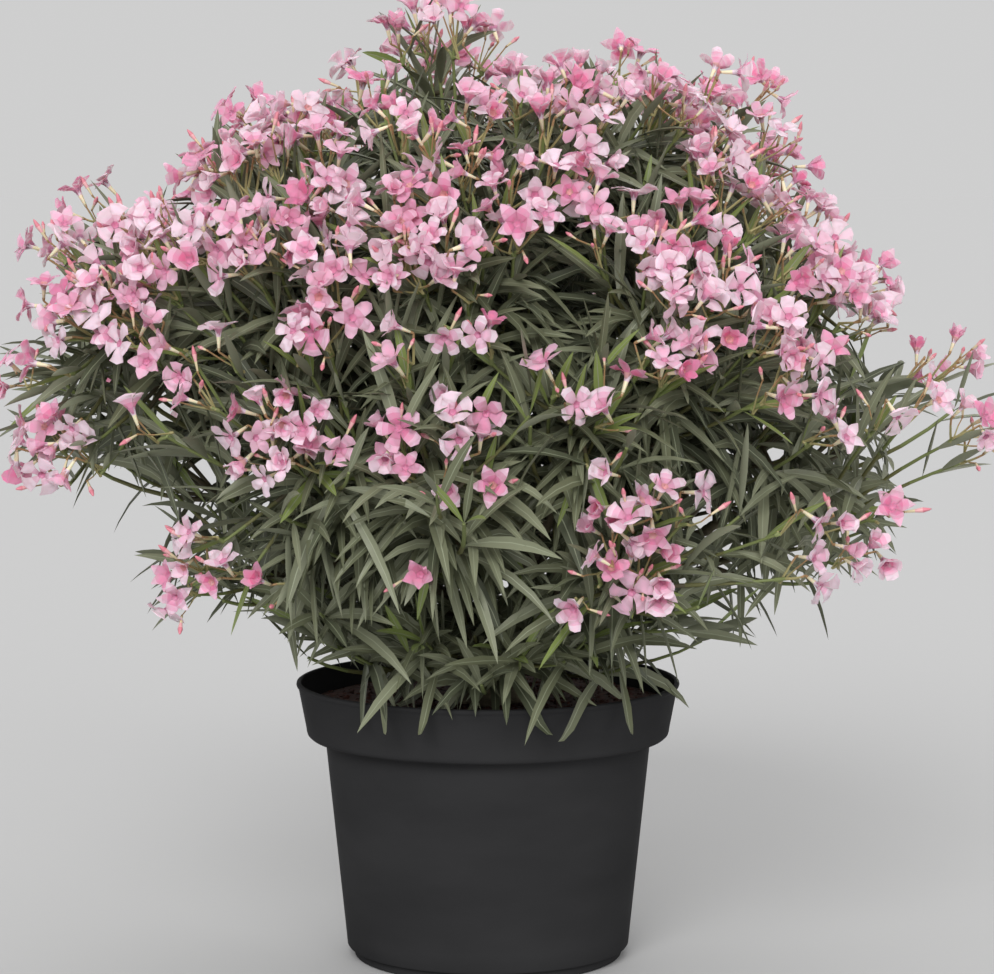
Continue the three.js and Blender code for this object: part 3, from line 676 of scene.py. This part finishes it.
def leavesOn(pile, roots, directions, facings, lengths, widths, droops, rolls, tints, sure, keys, flowering):
    bent = unit(directions - up * droops[:, None])
    half = (lengths * 0.5)[:, None]
    curves = np.stack([roots, roots + directions * half, roots + (directions + bent) * half], axis=1)
    line = onCurve(curves, leaf["stations"])
    lift = np.maximum(lowestAt(line) - line[..., 2], 0)
    line[..., 2] += lift
    inside = np.all((line > reachLow + leaf["margin"]) & (line < reachHigh - leaf["margin"]), axis=(1, 2))
    inside &= np.abs(np.diff(lift, axis=1)).max(axis=1) < leaf["kink"]
    r = fromMiddle(line)
    bareSoil = (r > rim["bareSoil"][0]) & (r < rim["bareSoil"][1]) & (line[..., 2] < rim["bareBelow"])
    inside &= ~(bareSoil & (np.abs(line[..., 0]) > rim["bareBeside"])).any(axis=1)
    inside &= openness(line).min(axis=1) > 0
    for place in shields:  # nor grows across a head of blossom
        inside &= np.linalg.norm(line - place, axis=2).min(axis=1) > leaf["clear"]
    end = line[:, -1]
    under, over = crownAt(end)
    inside &= ((sure & (r[:, -1] < 0.3)) | (end[:, 2] > under)) & (end[:, 2] < over - leaf["margin"])
    luck = np.random.default_rng(len(roots)).random(len(roots))
    luck -= 0.2 * np.clip((0.6 - end[:, 2]) / 0.2, 0, 1)
    inside &= sure | (luck < np.interp(depthAt(end), *outline["leafShare"]))
    inside &= flowering | (np.bincount(keys[inside], minlength=keys.max() + 1)[keys] > 4)  # no twig has only a few
    line, facings, widths, rolls, tints = (a[inside] for a in (line, facings, widths, rolls, tints))
    tangent = unit(np.gradient(line, axis=1))
    side = unit(np.cross(tangent, facings[:, None]))
    top = np.cross(side, tangent)
    c, s = np.cos(rolls)[:, None, None], np.sin(rolls)[:, None, None]
    side, top = side * c + top * s, top * c - side * s
    half = (widths[:, None] * 0.5 * np.array(leaf["shape"]))[..., None, None]
    x = np.array([-1, -leaf["ribHalf"], leaf["ribHalf"], 1, 0])[:, None]
    z = np.array([leaf["fold"], leaf["ribLift"], leaf["ribLift"], leaf["fold"], -leaf["keel"]])[:, None]
    lower = np.array([0, 0, 0, 0, -leaf["thickness"]])[:, None]
    rings = (line[:, 1:6, None] + side[:, 1:6, None] * x * half + top[:, 1:6, None] * (z * half + lower))
    points = np.concatenate([line[:, :1], rings.reshape(len(line), 25, 3), line[:, 6:]], axis=1)

    def slotsOf(kinds):
        return np.where(kinds == 0, tints[:, None], np.where(kinds == 1, ribTint, underTint))

    pileOn(pile, points, leafQuads, slotsOf(leafQuadKinds), leafTris, slotsOf(leafTriKinds))
    return inside


# Whorls of three leaves up a twig, each whorl turned half way round the one below it.
def leafRows(item):
    rng = np.random.default_rng(1000 + item["key"])
    curve, length = item["curve"], item["length"]
    high = 1 - (leaf["bare"] if item["blooms"] else 0.003) / length
    low = max(leaf["low"], high - leaf["leafy"] / length)
    whorls = max(int((high - low) * length / leaf["spacing"]), 3)
    share = np.repeat(np.linspace(low, high, whorls), 3)
    order = np.repeat(np.arange(whorls), 3)
    n = len(share)
    share = np.clip(share + rng.normal(0, 0.006, n), 0.02, 1)
    age = np.clip((high - share) * length / leaf["fullGrown"], 0, 1)  # 0 at the tip
    tangent = tangentOf(curve, share)
    outward, across = squareAlong(curve, tangent)
    angle = np.tile([1, 3, 5], whorls) * math.pi / 3 + order * math.pi / 3 + rng.normal(0, 0.22, n)
    outward = outward * np.cos(angle)[:, None] + across * np.sin(angle)[:, None]
    splay = np.radians(mix(*leaf["splay"], age ** 0.7) + rng.normal(0, 7, n))[:, None]
    raised = np.clip((onCurve(curve, share)[:, 2] - 0.38) / 0.25, 0, 1)  # leaves low down hang more
    direction = unit(tangent * np.cos(splay) + outward * np.sin(splay) + up * 0.22 * raised[:, None])
    sizes = mix(0.62, 1.0, np.clip(age * 2.5, 0, 1)) * rng.uniform(0.82, 1.18, n)
    if item["mass"]["skirt"]:
        sizes *= leaf["skirtSize"]
        age = np.minimum(age * 1.3, 1)
    roots = onCurve(curve, share) + direction * 0.0005
    droop = mix(*leaf["droop"], age) * rng.uniform(0.6, 1.3, n) * mix(1.3, 1, raised)
    # A leaf's tint darkens towards the crown's middle, which is painted shade, mixed with tone that differs at
    # random from leaf to leaf and twig to twig.
    depth = np.linalg.norm((roots - crownMiddle) / (0.5, 0.42, 0.42), axis=1)
    shade = np.clip((depth - 0.35) * 2.6 + rng.normal(0, 0.55, n) + seeded(item["key"], 5) * 0.8 - 0.4, 0, 3)
    tints = np.round(shade).astype(int)
    tints[(age < 0.10) & (rng.random(n) < 0.75) & (not item["old"])] = youngTint
    widths = leaf["width"] * rng.uniform(0.8, 1.15, n) * np.sqrt(sizes)
    return (roots, direction, tangent, leaf["length"] * sizes, widths, droop,
            rng.normal(0, 0.22, n), tints, np.full(n, item["sure"]), np.full(n, item["key"]),
            np.full(n, item["blooms"] > 0)), share


bloom = {
    "radius": 0.0188,
    # five rows of a petal from its base to its tip, each: one edge, upper middle, other edge, lower middle,
    # in hundredths of the bloom's radius
    "blunt": [[(-5, 0, 0), (0, 0, 1), (5, 0, 0), (0, 0, -3)],
              [(-13, 22, -2), (0, 22, 0), (13, 22, 3), (0, 22, -4)],
              [(-22, 52, -4), (0, 54, 2), (24, 50, 6), (0, 54, -2)],
              [(-34, 82, -7), (2, 85, -1), (42, 76, 8), (2, 85, -5)],
              [(-37, 107, -10), (14, 114, -3), (64, 91, 6), (14, 111, -6)]],
    "pointed": [[(-5, 0, 0), (0, 0, 1), (5, 0, 0), (0, 0, -3)],
                [(-17, 22, -2), (0, 22, 0), (17, 22, 2), (0, 22, -4)],
                [(-34, 48, 2), (0, 50, -3), (34, 48, 5), (0, 50, -6)],
                [(-26, 78, 3), (0, 80, -2), (27, 77, 5), (0, 80, -5)],
                [(-4, 110, 0), (3, 116, -2), (11, 106, 1), (3, 110, -4)]],
    "tube": [(-1.14, 0), (-1.10, .07), (-.46, .12), (-.05, .20), (-.42, 0)], "tubeSides": 6,
    "throat": 0.22,         # share of a petal that lies in the throat
    "oneTintOff": 0.65,     # share of petals whose base is deeper, and whose edge is paler
    "crumple": 0.045,
}
petalQuads = np.concatenate([sleeve(5, 4)[0] - 1, [(3, 2, 1, 0), (16, 17, 18, 19)]])
petalKinds = np.append(np.repeat((2, 1, 0, 3), 4), (2, 3))  # 0 limb, 1 its base, 2 throat, 3 its edge


def bloomsOn(pile, centres, axes, spins, radii, opening, pointed, tints, throats, rng):
    n = len(centres)
    u, v = squareTo(axes)
    bases = np.where(rng.random(n) < bloom["oneTintOff"], np.minimum(tints + 1, deepestTint), tints)
    edges = np.where(rng.random(n) < bloom["oneTintOff"], np.maximum(tints - 1, 0), tints)
    slots = np.stack([tints, bases, throats, edges], axis=1)[:, petalKinds]
    pointed = pointed[:, None, None, None]
    shape = np.array(bloom["blunt"]) / 100 * (1 - pointed) + np.array(bloom["pointed"]) / 100 * pointed
    for j in range(5):
        angle = (spins + j * fullTurn / 5 + rng.normal(0, 0.06, n))[:, None]
        outward = u * np.cos(angle) + v * np.sin(angle)
        side = u * np.sin(angle) - v * np.cos(angle)
        lean = (opening + rng.normal(0, 0.17, n))[:, None, None]  # from the bloom's axis, in radians
        x, along, lift = (shape[..., c] for c in range(3))
        lift = lift + rng.normal(0, bloom["crumple"], lift.shape) * (along > 0.4)
        past = np.maximum(along - bloom["throat"], 0)
        inner = np.minimum(along / bloom["throat"], 1)
        radial = 0.08 + 0.11 * inner + past * np.sin(lean) - lift * np.cos(lean)
        axial = -0.40 + 0.36 * inner + past * np.cos(lean) + lift * np.sin(lean) - 0.18 * past ** 2
        size = (radii * rng.uniform(0.92, 1.08, n))[:, None, None, None]
        points = centres[:, None, None] + size * (side[:, None, None] * x[..., None]
                                                  + outward[:, None, None] * radial[..., None]
                                                  + axes[:, None, None] * axial[..., None])
        pileOn(pile, points.reshape(n, 20, 3), petalQuads, slots, [], [])
    tube = np.stack([np.full(n, tubeTint), np.full(n, tubeTint), np.zeros(n, int), throats], axis=1)
    spindlesOn(pile, centres, axes, radii, radii, bloom["tubeSides"], bloom["tube"], tube)


bud = {"length": 0.025, "radius": 0.0026, "sides": 5, "slots": [2, 2, 1, 0, 0],
       "profile": [(0, 0), (0.10, 0.42), (0.42, 0.62), (0.68, 1.0), (0.90, 0.52), (1, 0)]}
# The calyx: a small cup under each tube and bud.
cup = {"underBloom": 0.0024, "underBud": 0.0018, "sides": 5,
       "profile": [(-0.9, 0), (-0.3, 0.55), (1.1, 0.72), (0.5, 0)]}
head = {
    "hub": 0.022,                   # from the middle of a head to where its stalks part
    "dome": (0.016, 0.0082),        # reach of its blooms: at the least, and more for each bloom's root
    "cap": (25, 11, 92),            # how far down the dome they stand, in degrees
    "pointed": (0.56, 0.52),        # mean and spread
    "open": (44, 78), "shut": (18, 36), "shutShare": 0.32,
    "stalk": (0.0013, 0.0010), "arm": (0.0023, 0.0015), "budStalk": (0.0009, 0.0007),
    "tries": 9,                     # for each bud, of which the one farthest from the blooms is kept
}


def cupsOn(pile, places, axes, size):
    sizes = np.full(len(places), size)
    spindlesOn(pile, places, axes, sizes, sizes, cup["sides"], cup["profile"], [1, 1, 1])


def growHead(piles, item):
    rng = np.random.default_rng(5000 + item["key"])
    n = item["blooms"]
    tip = item["curve"][2]
    tangent = tangentOf(item["curve"], [1])[0]
    place = item["headAt"]
    if place is None:
        place = tip + unit(headAxis(tip, tangent) + tangent * 0.5) * 0.04
    axis = unit(place - tip)
    place = np.clip(place, reachLow + twig["inside"], reachHigh - twig["inside"])
    hub = place - axis * head["hub"]
    dome = head["dome"][0] + head["dome"][1] * math.sqrt(n)
    cap = math.radians(min(head["cap"][0] + n * head["cap"][1], head["cap"][2]))
    k = np.arange(n)
    lean = np.arccos(1 - (k + 0.5) / n * (1 - math.cos(cap)))
    outward = leaning(axis, lean, k * goldenTurn + rng.uniform(0, 6.28))
    radii = bloom["radius"] * rng.uniform(0.86, 1.12, n)
    centres = hub + outward * (dome * rng.uniform(0.85, 1.2, n))[:, None]
    outside = unit(place - crownMiddle)
    faces = unit(outward * 0.85 + outside * 0.3 + rng.normal(0, 0.46, (n, 3)))
    pointed = np.clip(rng.normal(*head["pointed"], n), 0, 1)
    opening = np.radians(rng.uniform(*head["open"], n) - pointed * 8)
    closed = rng.random(n) < head["shutShare"]
    opening[closed] = np.radians(rng.uniform(*head["shut"], closed.sum()))
    tone = np.clip(seeded(item["key"], 61) * 1.2 + pointed * 1.5 + rng.normal(0, 0.55, n) - 0.35, 0, deepestTint)
    tints = np.round(tone).astype(int)
    throats = np.where((pointed > 0.55) & (rng.random(n) < 0.4), coralTint, throatTint)
    bloomsOn(piles["blooms"], centres, faces, rng.uniform(0, 6.28, n), radii, opening, pointed, tints,
             throats, rng)
    feet = centres - faces * (radii * 1.13)[:, None]
    cupsOn(piles["stalks"], feet, faces, cup["underBloom"])
    arms = 2 + n // 3
    knots = hub - axis * (0.012 + 0.012 * rng.random(arms))[:, None] + rng.normal(0, 0.004, (arms, 3))
    owner = k % arms
    middle = mix(knots[owner], feet, 0.5) + outward * 0.006 - faces * 0.003
    stalks = np.stack([knots[owner], middle, feet - faces * 0.001], axis=1)
    tubesOn(piles["stalks"], stalks, [head["stalk"]] * n, 4, 3, [0, 0, 1])
    trunkLines = np.stack([np.repeat(tip[None] - tangent * 0.002, arms, 0),
                           mix(tip, knots, 0.5) + axis * 0.003, knots + axis * 0.001], axis=1)
    tubesOn(piles["stalks"], trunkLines, [head["arm"]] * arms, 5, 3, [2, 0])
    m = max(int(rng.integers(0, 3)) + (n + 1) // 3, 1)
    lean = np.abs(rng.normal(0.3, 0.6, (m, head["tries"]))).clip(0, 1.5)
    tries = leaning(axis, lean, rng.uniform(0, 6.28, (m, head["tries"])))
    crowding = (tries @ outward.T).max(axis=2)  # how near the nearest bloom is
    outward = tries[np.arange(m), crowding.argmin(axis=1)]
    roots = hub + outward * (dome * rng.uniform(0.45, 1.0, m))[:, None]
    ways = unit(outward + up * 0.35 + rng.normal(0, 0.2, (m, 3)))
    lengths = bud["length"] * rng.uniform(0.45, 1.15, m)
    spindlesOn(piles["buds"], roots, ways, lengths, bud["radius"] * mix(0.65, 1.0, lengths / bud["length"]),
               bud["sides"], bud["profile"], bud["slots"])
    cupsOn(piles["stalks"], roots, ways, cup["underBud"])
    owner = np.arange(m) % arms
    stalks = np.stack([knots[owner], mix(knots[owner], roots, 0.5) + outward * 0.004, roots], axis=1)
    tubesOn(piles["stalks"], stalks, [head["budStalk"]] * m, 4, 2, [0, 1])
    return n, m


# One set of joined pieces for each limb and for the skirts.
counts = {"leaves": 0, "blooms": 0, "buds": 0}
for group in [*plant["limbs"], "skirts"]:
    piles = {kind: newPile() for kind in finishes}
    mine = [item for item in twigs if item["mass"]["group"] == group]
    own = [m for m in masses if m["group"] == group]
    rows, shares = zip(*(leafRows(item) for item in mine))
    grown = leavesOn(piles["leaves"], *(np.concatenate(c) for c in zip(*rows)))
    counts["leaves"] += grown.sum()
    curves, radii = [], []
    for item, share, kept in zip(mine, shares, np.split(grown, np.cumsum([len(c) for c in shares])[:-1])):
        curve = item["curve"]
        if not item["blooms"]:  # ends at its topmost leaf, and is left out if it has none
            if not kept.any():
                continue
            last = share[kept].max()
            curve = np.array([curve[0], mix(curve[0], curve[1], last), onCurve(curve, [last])[0]])
        curves.append(curve)
        radii.append(item["radii"])
    tubesOn(piles["twigs"], curves, radii, twig["sides"], twig["rings"], [0, 1, 2])
    hearts = [np.array([m["stem"][2], mix(m["stem"][2], m["heart"], 0.5), mix(m["start"], m["heart"], 0.85)])
              for m in own]
    tubesOn(piles["twigs"], [m["stem"] for m in own], [twig["stemRadius"]] * len(own), twig["sides"], 3, [0])
    tubesOn(piles["twigs"], hearts, [twig["heartRadius"]] * len(own), twig["sides"], 5, [0, 0, 1])
    for item in mine:
        if item["blooms"]:
            opened, shut = growHead(piles, item)
            counts["blooms"] += opened
            counts["buds"] += shut
    nodes = ["foliage_" + m["name"] for m in own]
    for kind, materials in finishes.items():
        if piles[kind]["points"]:
            piece = meshFrom(f"{kind}_{group}", piles[kind], materials)
            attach(piece, "root")
            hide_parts(*nodes)
            print(" ", piece.name, sum(len(p.vertices) - 2 for p in piece.data.polygons), "triangles")
print(counts)


def select(active, *others):
    bpy.ops.object.select_all(action="DESELECT")
    for piece in (active, *others):
        piece.select_set(True)
    bpy.context.view_layer.objects.active = active


# Pushes a surface in and out by a procedural texture.
def roughen(piece, name, kind, scale, strength, level=0.5, direction="NORMAL", where=""):
    texture = bpy.data.textures.new(name, kind)
    texture.noise_scale = scale
    modifier = piece.modifiers.new(name, "DISPLACE")
    modifier.texture, modifier.texture_coords = texture, "LOCAL"
    modifier.strength, modifier.mid_level = strength, level
    modifier.direction, modifier.vertex_group = direction, where
    bpy.ops.object.modifier_apply(modifier=name)


# Grows a round vessel from a filled disc: each step extrudes the last loop and sets its radius.
def turnedPiece(name, profile, segments):
    bpy.ops.object.select_all(action="DESELECT")
    profile = [(radius / 10000, level / 10000) for radius, level in profile]
    radius, level = profile[0]
    bpy.ops.mesh.primitive_circle_add(vertices=segments, radius=radius, fill_type="NGON",
                                      location=(0, 0, level))
    piece = bpy.context.object
    piece.name = piece.data.name = name
    bpy.ops.object.transform_apply()
    bpy.ops.object.mode_set(mode="EDIT")
    bpy.ops.mesh.select_all(action="SELECT")
    for nextRadius, nextLevel in profile[1:]:
        bpy.ops.mesh.extrude_region_move(TRANSFORM_OT_translate={"value": (0, 0, nextLevel - level)})
        bpy.ops.transform.resize(value=(nextRadius / radius, nextRadius / radius, 1),
                                 center_override=(0, 0, nextLevel))
        radius, level = nextRadius, nextLevel
    bpy.ops.mesh.select_all(action="SELECT")
    bpy.ops.mesh.remove_doubles(threshold=0.00001)
    bpy.ops.mesh.normals_make_consistent(inside=False)
    bpy.ops.object.mode_set(mode="OBJECT")
    return piece


pot = {
    "segments": 128,
    # radius and level, in tenths of a millimetre
    "profile": [(1385, 0), (1405, 8), (1410, 25), (1412, 85), (1440, 98), (1470, 104), (1482, 120), (1500, 300),
                (1700, 2235), (1708, 2290), (1722, 2314), (1750, 2322), (1835, 2322), (1868, 2330), (1892, 2352),
                (1902, 2385), (1908, 2430), (1984, 2830), (1990, 2846), (2003, 2856), (2008, 2872), (2004, 2890),
                (1990, 2900), (1966, 2900), (1955, 2890), (1951, 2850), (1876, 2430), (1862, 2370), (1830, 2352),
                (1690, 2350), (1680, 2300), (1450, 160), (1420, 134), (300, 130)],
}
print("pot")
potPiece = turnedPiece("pot_shell", pot["profile"], pot["segments"])
bpy.ops.object.shade_smooth_by_angle(angle=math.radians(40))
plastic, shader, place = newMaterial("potPlastic", Specular_IOR_Level=0.004)
addMottle(place, shader, Scale=22, Low=0.42, High=0.56)
stretch = addNode(shader.id_data, "Mapping", Scale=(1, 1, 3))  # a faint bloom of dust, drawn round the wall
wire(place, "Object", stretch, "Vector")
addTones(stretch, "Vector", shader, 5, 6, (0.3, 0.75), ("2d2d2e", "363637"))
grain = addNode(shader.id_data, "TexNoise", Scale=900)  # moulded grain
wire(place, "Object", grain, "Vector")
addRelief(grain, "Fac", shader, 0.08, 0.0004)
potPiece.data.materials.append(plastic)
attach(potPiece, "root")
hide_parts("pot")

print("soil")
soil = {
    "segments": 96,
    "profile": [(1425, 136), (1660, 2355), (1820, 2360), (1855, 2420), (1902, 2650), (1700, 2692), (1500, 2700),
                (1300, 2696), (1100, 2690), (900, 2682), (700, 2674), (500, 2666), (300, 2660), (100, 2658)],
    "topFrom": 0.2605, "lumps": 0.004, "lumpScale": 0.018,
    "crumbs": 1500, "crumbSize": (0.0018, 0.0052), "crumbReach": 0.183,
    "crumbRadii": [0, 0.10, 0.15, 0.188], "crumbLevels": [0.2655, 0.2684, 0.2698, 0.2660],
}
soilPiece = turnedPiece("soil_peat", soil["profile"], soil["segments"])
top = soilPiece.vertex_groups.new(name="top")
top.add([v.index for v in soilPiece.data.vertices if v.co.z > soil["topFrom"]], 1, "REPLACE")
roughen(soilPiece, "lumps", "CLOUDS", soil["lumpScale"], soil["lumps"], level=0.6, direction="Z", where="top")

rng = np.random.default_rng(77)
crumbPile = newPile()
n = soil["crumbs"]
radius = soil["crumbReach"] * np.sqrt(rng.uniform(0.03, 1, n))
angle = rng.uniform(0, fullTurn, n)
size = rng.uniform(*soil["crumbSize"], n) * rng.uniform(0.6, 1, n)
middle = np.stack([radius * np.cos(angle), radius * np.sin(angle),
                   np.interp(radius, soil["crumbRadii"], soil["crumbLevels"])], axis=1)
octa = np.array([(1, 0, 0), (0, 1, 0), (-1, 0, 0), (0, -1, 0), (0, 0, 1), (0, 0, -1)], float)
points = octa[None] * rng.uniform(0.5, 1.2, (n, 6, 3)) + rng.normal(0, 0.18, (n, 6, 3))
points = middle[:, None] + points * size[:, None, None] * (1, 1, 0.7)
octaFaces = [(4, a, (a + 1) % 4) for a in range(4)] + [(5, (a + 1) % 4, a) for a in range(4)]
pileOn(crumbPile, points, [], [], octaFaces, [0] * 8)
select(soilPiece, meshFrom("crumbs", crumbPile, [], smooth=False))
bpy.ops.object.join()

peat, shader, place = newMaterial("peat", Roughness=0.95)
noise = addTones(place, "Object", shader, 130, 8, (0.32, 0.72), ("22120d", "532b1f"))
addRelief(noise, "Fac", shader, 0.8, 0.002)
soilPiece.data.materials.append(peat)
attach(soilPiece, "root")
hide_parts("soil")

print("wood")
wood = {
    "stool": (0.033, 0.024), "stoolSides": 28, "flare": (0.009, 0.005), "lobes": 4, "lean": 0.003,
    "stations": 9, "voxel": 0.0022, "ridges": (0.009, 0.0011), "pits": (0.004, 0.00077),
}
bpy.ops.object.select_all(action="DESELECT")
bpy.ops.mesh.primitive_cone_add(vertices=wood["stoolSides"], radius1=wood["stool"][0], radius2=wood["stool"][1],
                                depth=plant["crownHeight"],
                                location=(0, 0, foot[2] + 0.0003 + plant["crownHeight"] / 2))
stool = bpy.context.object
bpy.ops.object.transform_apply()
for face in stool.data.polygons:
    face.select = abs(face.normal.z) < 0.9
bpy.ops.object.mode_set(mode="EDIT")
bpy.ops.mesh.subdivide(number_cuts=3)
bpy.ops.object.mode_set(mode="OBJECT")
for v in stool.data.vertices:  # lobes where the roots leave, and a slight lean
    share = (v.co.z - foot[2]) / plant["crownHeight"]
    angle, r = math.atan2(v.co.y, v.co.x), math.hypot(v.co.x, v.co.y)
    if r > 0.002:
        low = (1 - share) ** 2
        r = wood["stool"][1] + wood["flare"][0] * low + wood["flare"][1] * low * math.cos(wood["lobes"] * angle)
        v.co.x, v.co.y = r * math.cos(angle) + wood["lean"] * share, r * math.sin(angle)
limbs = []
shares = np.linspace(0, 1, wood["stations"])
for curve, radii in woodCurves:
    data = bpy.data.curves.new("limb", "CURVE")
    data.dimensions, data.use_fill_caps = "3D", True
    data.bevel_depth, data.bevel_resolution, data.resolution_u = 1, 4, 4
    spline = data.splines.new("POLY")
    spline.points.add(wood["stations"] - 1)
    for point, share, at in zip(spline.points, shares, onCurve(curve, shares)):
        point.co = (*at, 1)
        point.radius = mix(*radii, share)
    limbs.append(linked("limb", data))
select(stool, *limbs)
bpy.ops.object.convert(target="MESH")
bpy.ops.object.join()
woodPiece = bpy.context.object
woodPiece.name = woodPiece.data.name = "wood"
remesh = woodPiece.modifiers.new("skin", "REMESH")
remesh.mode, remesh.voxel_size, remesh.use_smooth_shade = "VOXEL", wood["voxel"], True
bpy.ops.object.modifier_apply(modifier="skin")
roughen(woodPiece, "ridges", "MUSGRAVE", *wood["ridges"])
roughen(woodPiece, "pits", "CLOUDS", *wood["pits"])
bark, shader, place = newMaterial("bark", Roughness=0.85)
addTones(place, "Object", shader, 45, 8, (0.35, 0.68), ("463f2f", "7f7660"))
pores = addNode(shader.id_data, "TexVoronoi", Scale=260)
wire(place, "Object", pores, "Vector")
addRelief(pores, "Distance", shader, 0.5, 0.001)
woodPiece.data.materials.clear()
woodPiece.data.materials.append(bark)
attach(woodPiece, "root")
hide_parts(*[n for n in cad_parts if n.startswith(("root_", "limb_", "bough_"))])
print("  wood", len(woodPiece.data.polygons), "faces")

print("stage")
studio = {
    "eye": (0.0095, -3.5, 0.83), "lookAt": (0.0095, 0, 0.493), "lens": 122,
    "sky": 0.62, "floor": 0.532,  # the floor meets the sky at one brightness
    "suns": [((-0.7, -3.2, 2.0), 28, 1.70), ((1.0, -3.2, 1.2), 36, 0.70), ((0.3, 2.2, 2.4), 40, 0.80)],
}
bpy.ops.object.select_all(action="DESELECT")
bpy.ops.mesh.primitive_plane_add(size=160, location=(0, 0, -0.0005))
floor = bpy.context.object
floor.name = floor.data.name = "floor"
pale = newMaterial("floorPale", Base_Color=(*[studio["floor"]] * 3, 1), Roughness=0.95, Specular_IOR_Level=0)[0]
floor.data.materials.append(pale)

world = bpy.context.scene.world or bpy.data.worlds.new("studio")
bpy.context.scene.world = world
world.use_nodes = True
setInputs(world.node_tree.nodes["Background"], {"Color": (1, 1, 1, 1), "Strength": studio["sky"]})
for k, (spot, width, power) in enumerate(studio["suns"]):  # each: from where, how wide in degrees, how strong
    lamp = bpy.data.lights.new(f"softbox_{k}", "SUN")
    lamp.angle, lamp.energy = math.radians(width), power
    holder = linked(lamp.name, lamp)
    holder.location = spot
    holder.rotation_euler = Vector(spot).to_track_quat("Z", "Y").to_euler()

lens = bpy.data.cameras.new("camera")
lens.lens, lens.sensor_width = studio["lens"], 36
lens.clip_start, lens.clip_end = 0.1, 200
camera = linked("camera", lens)
camera.location = studio["eye"]
camera.rotation_euler = (Vector(studio["lookAt"]) - camera.location).to_track_quat("-Z", "Y").to_euler()
bpy.context.scene.camera = camera
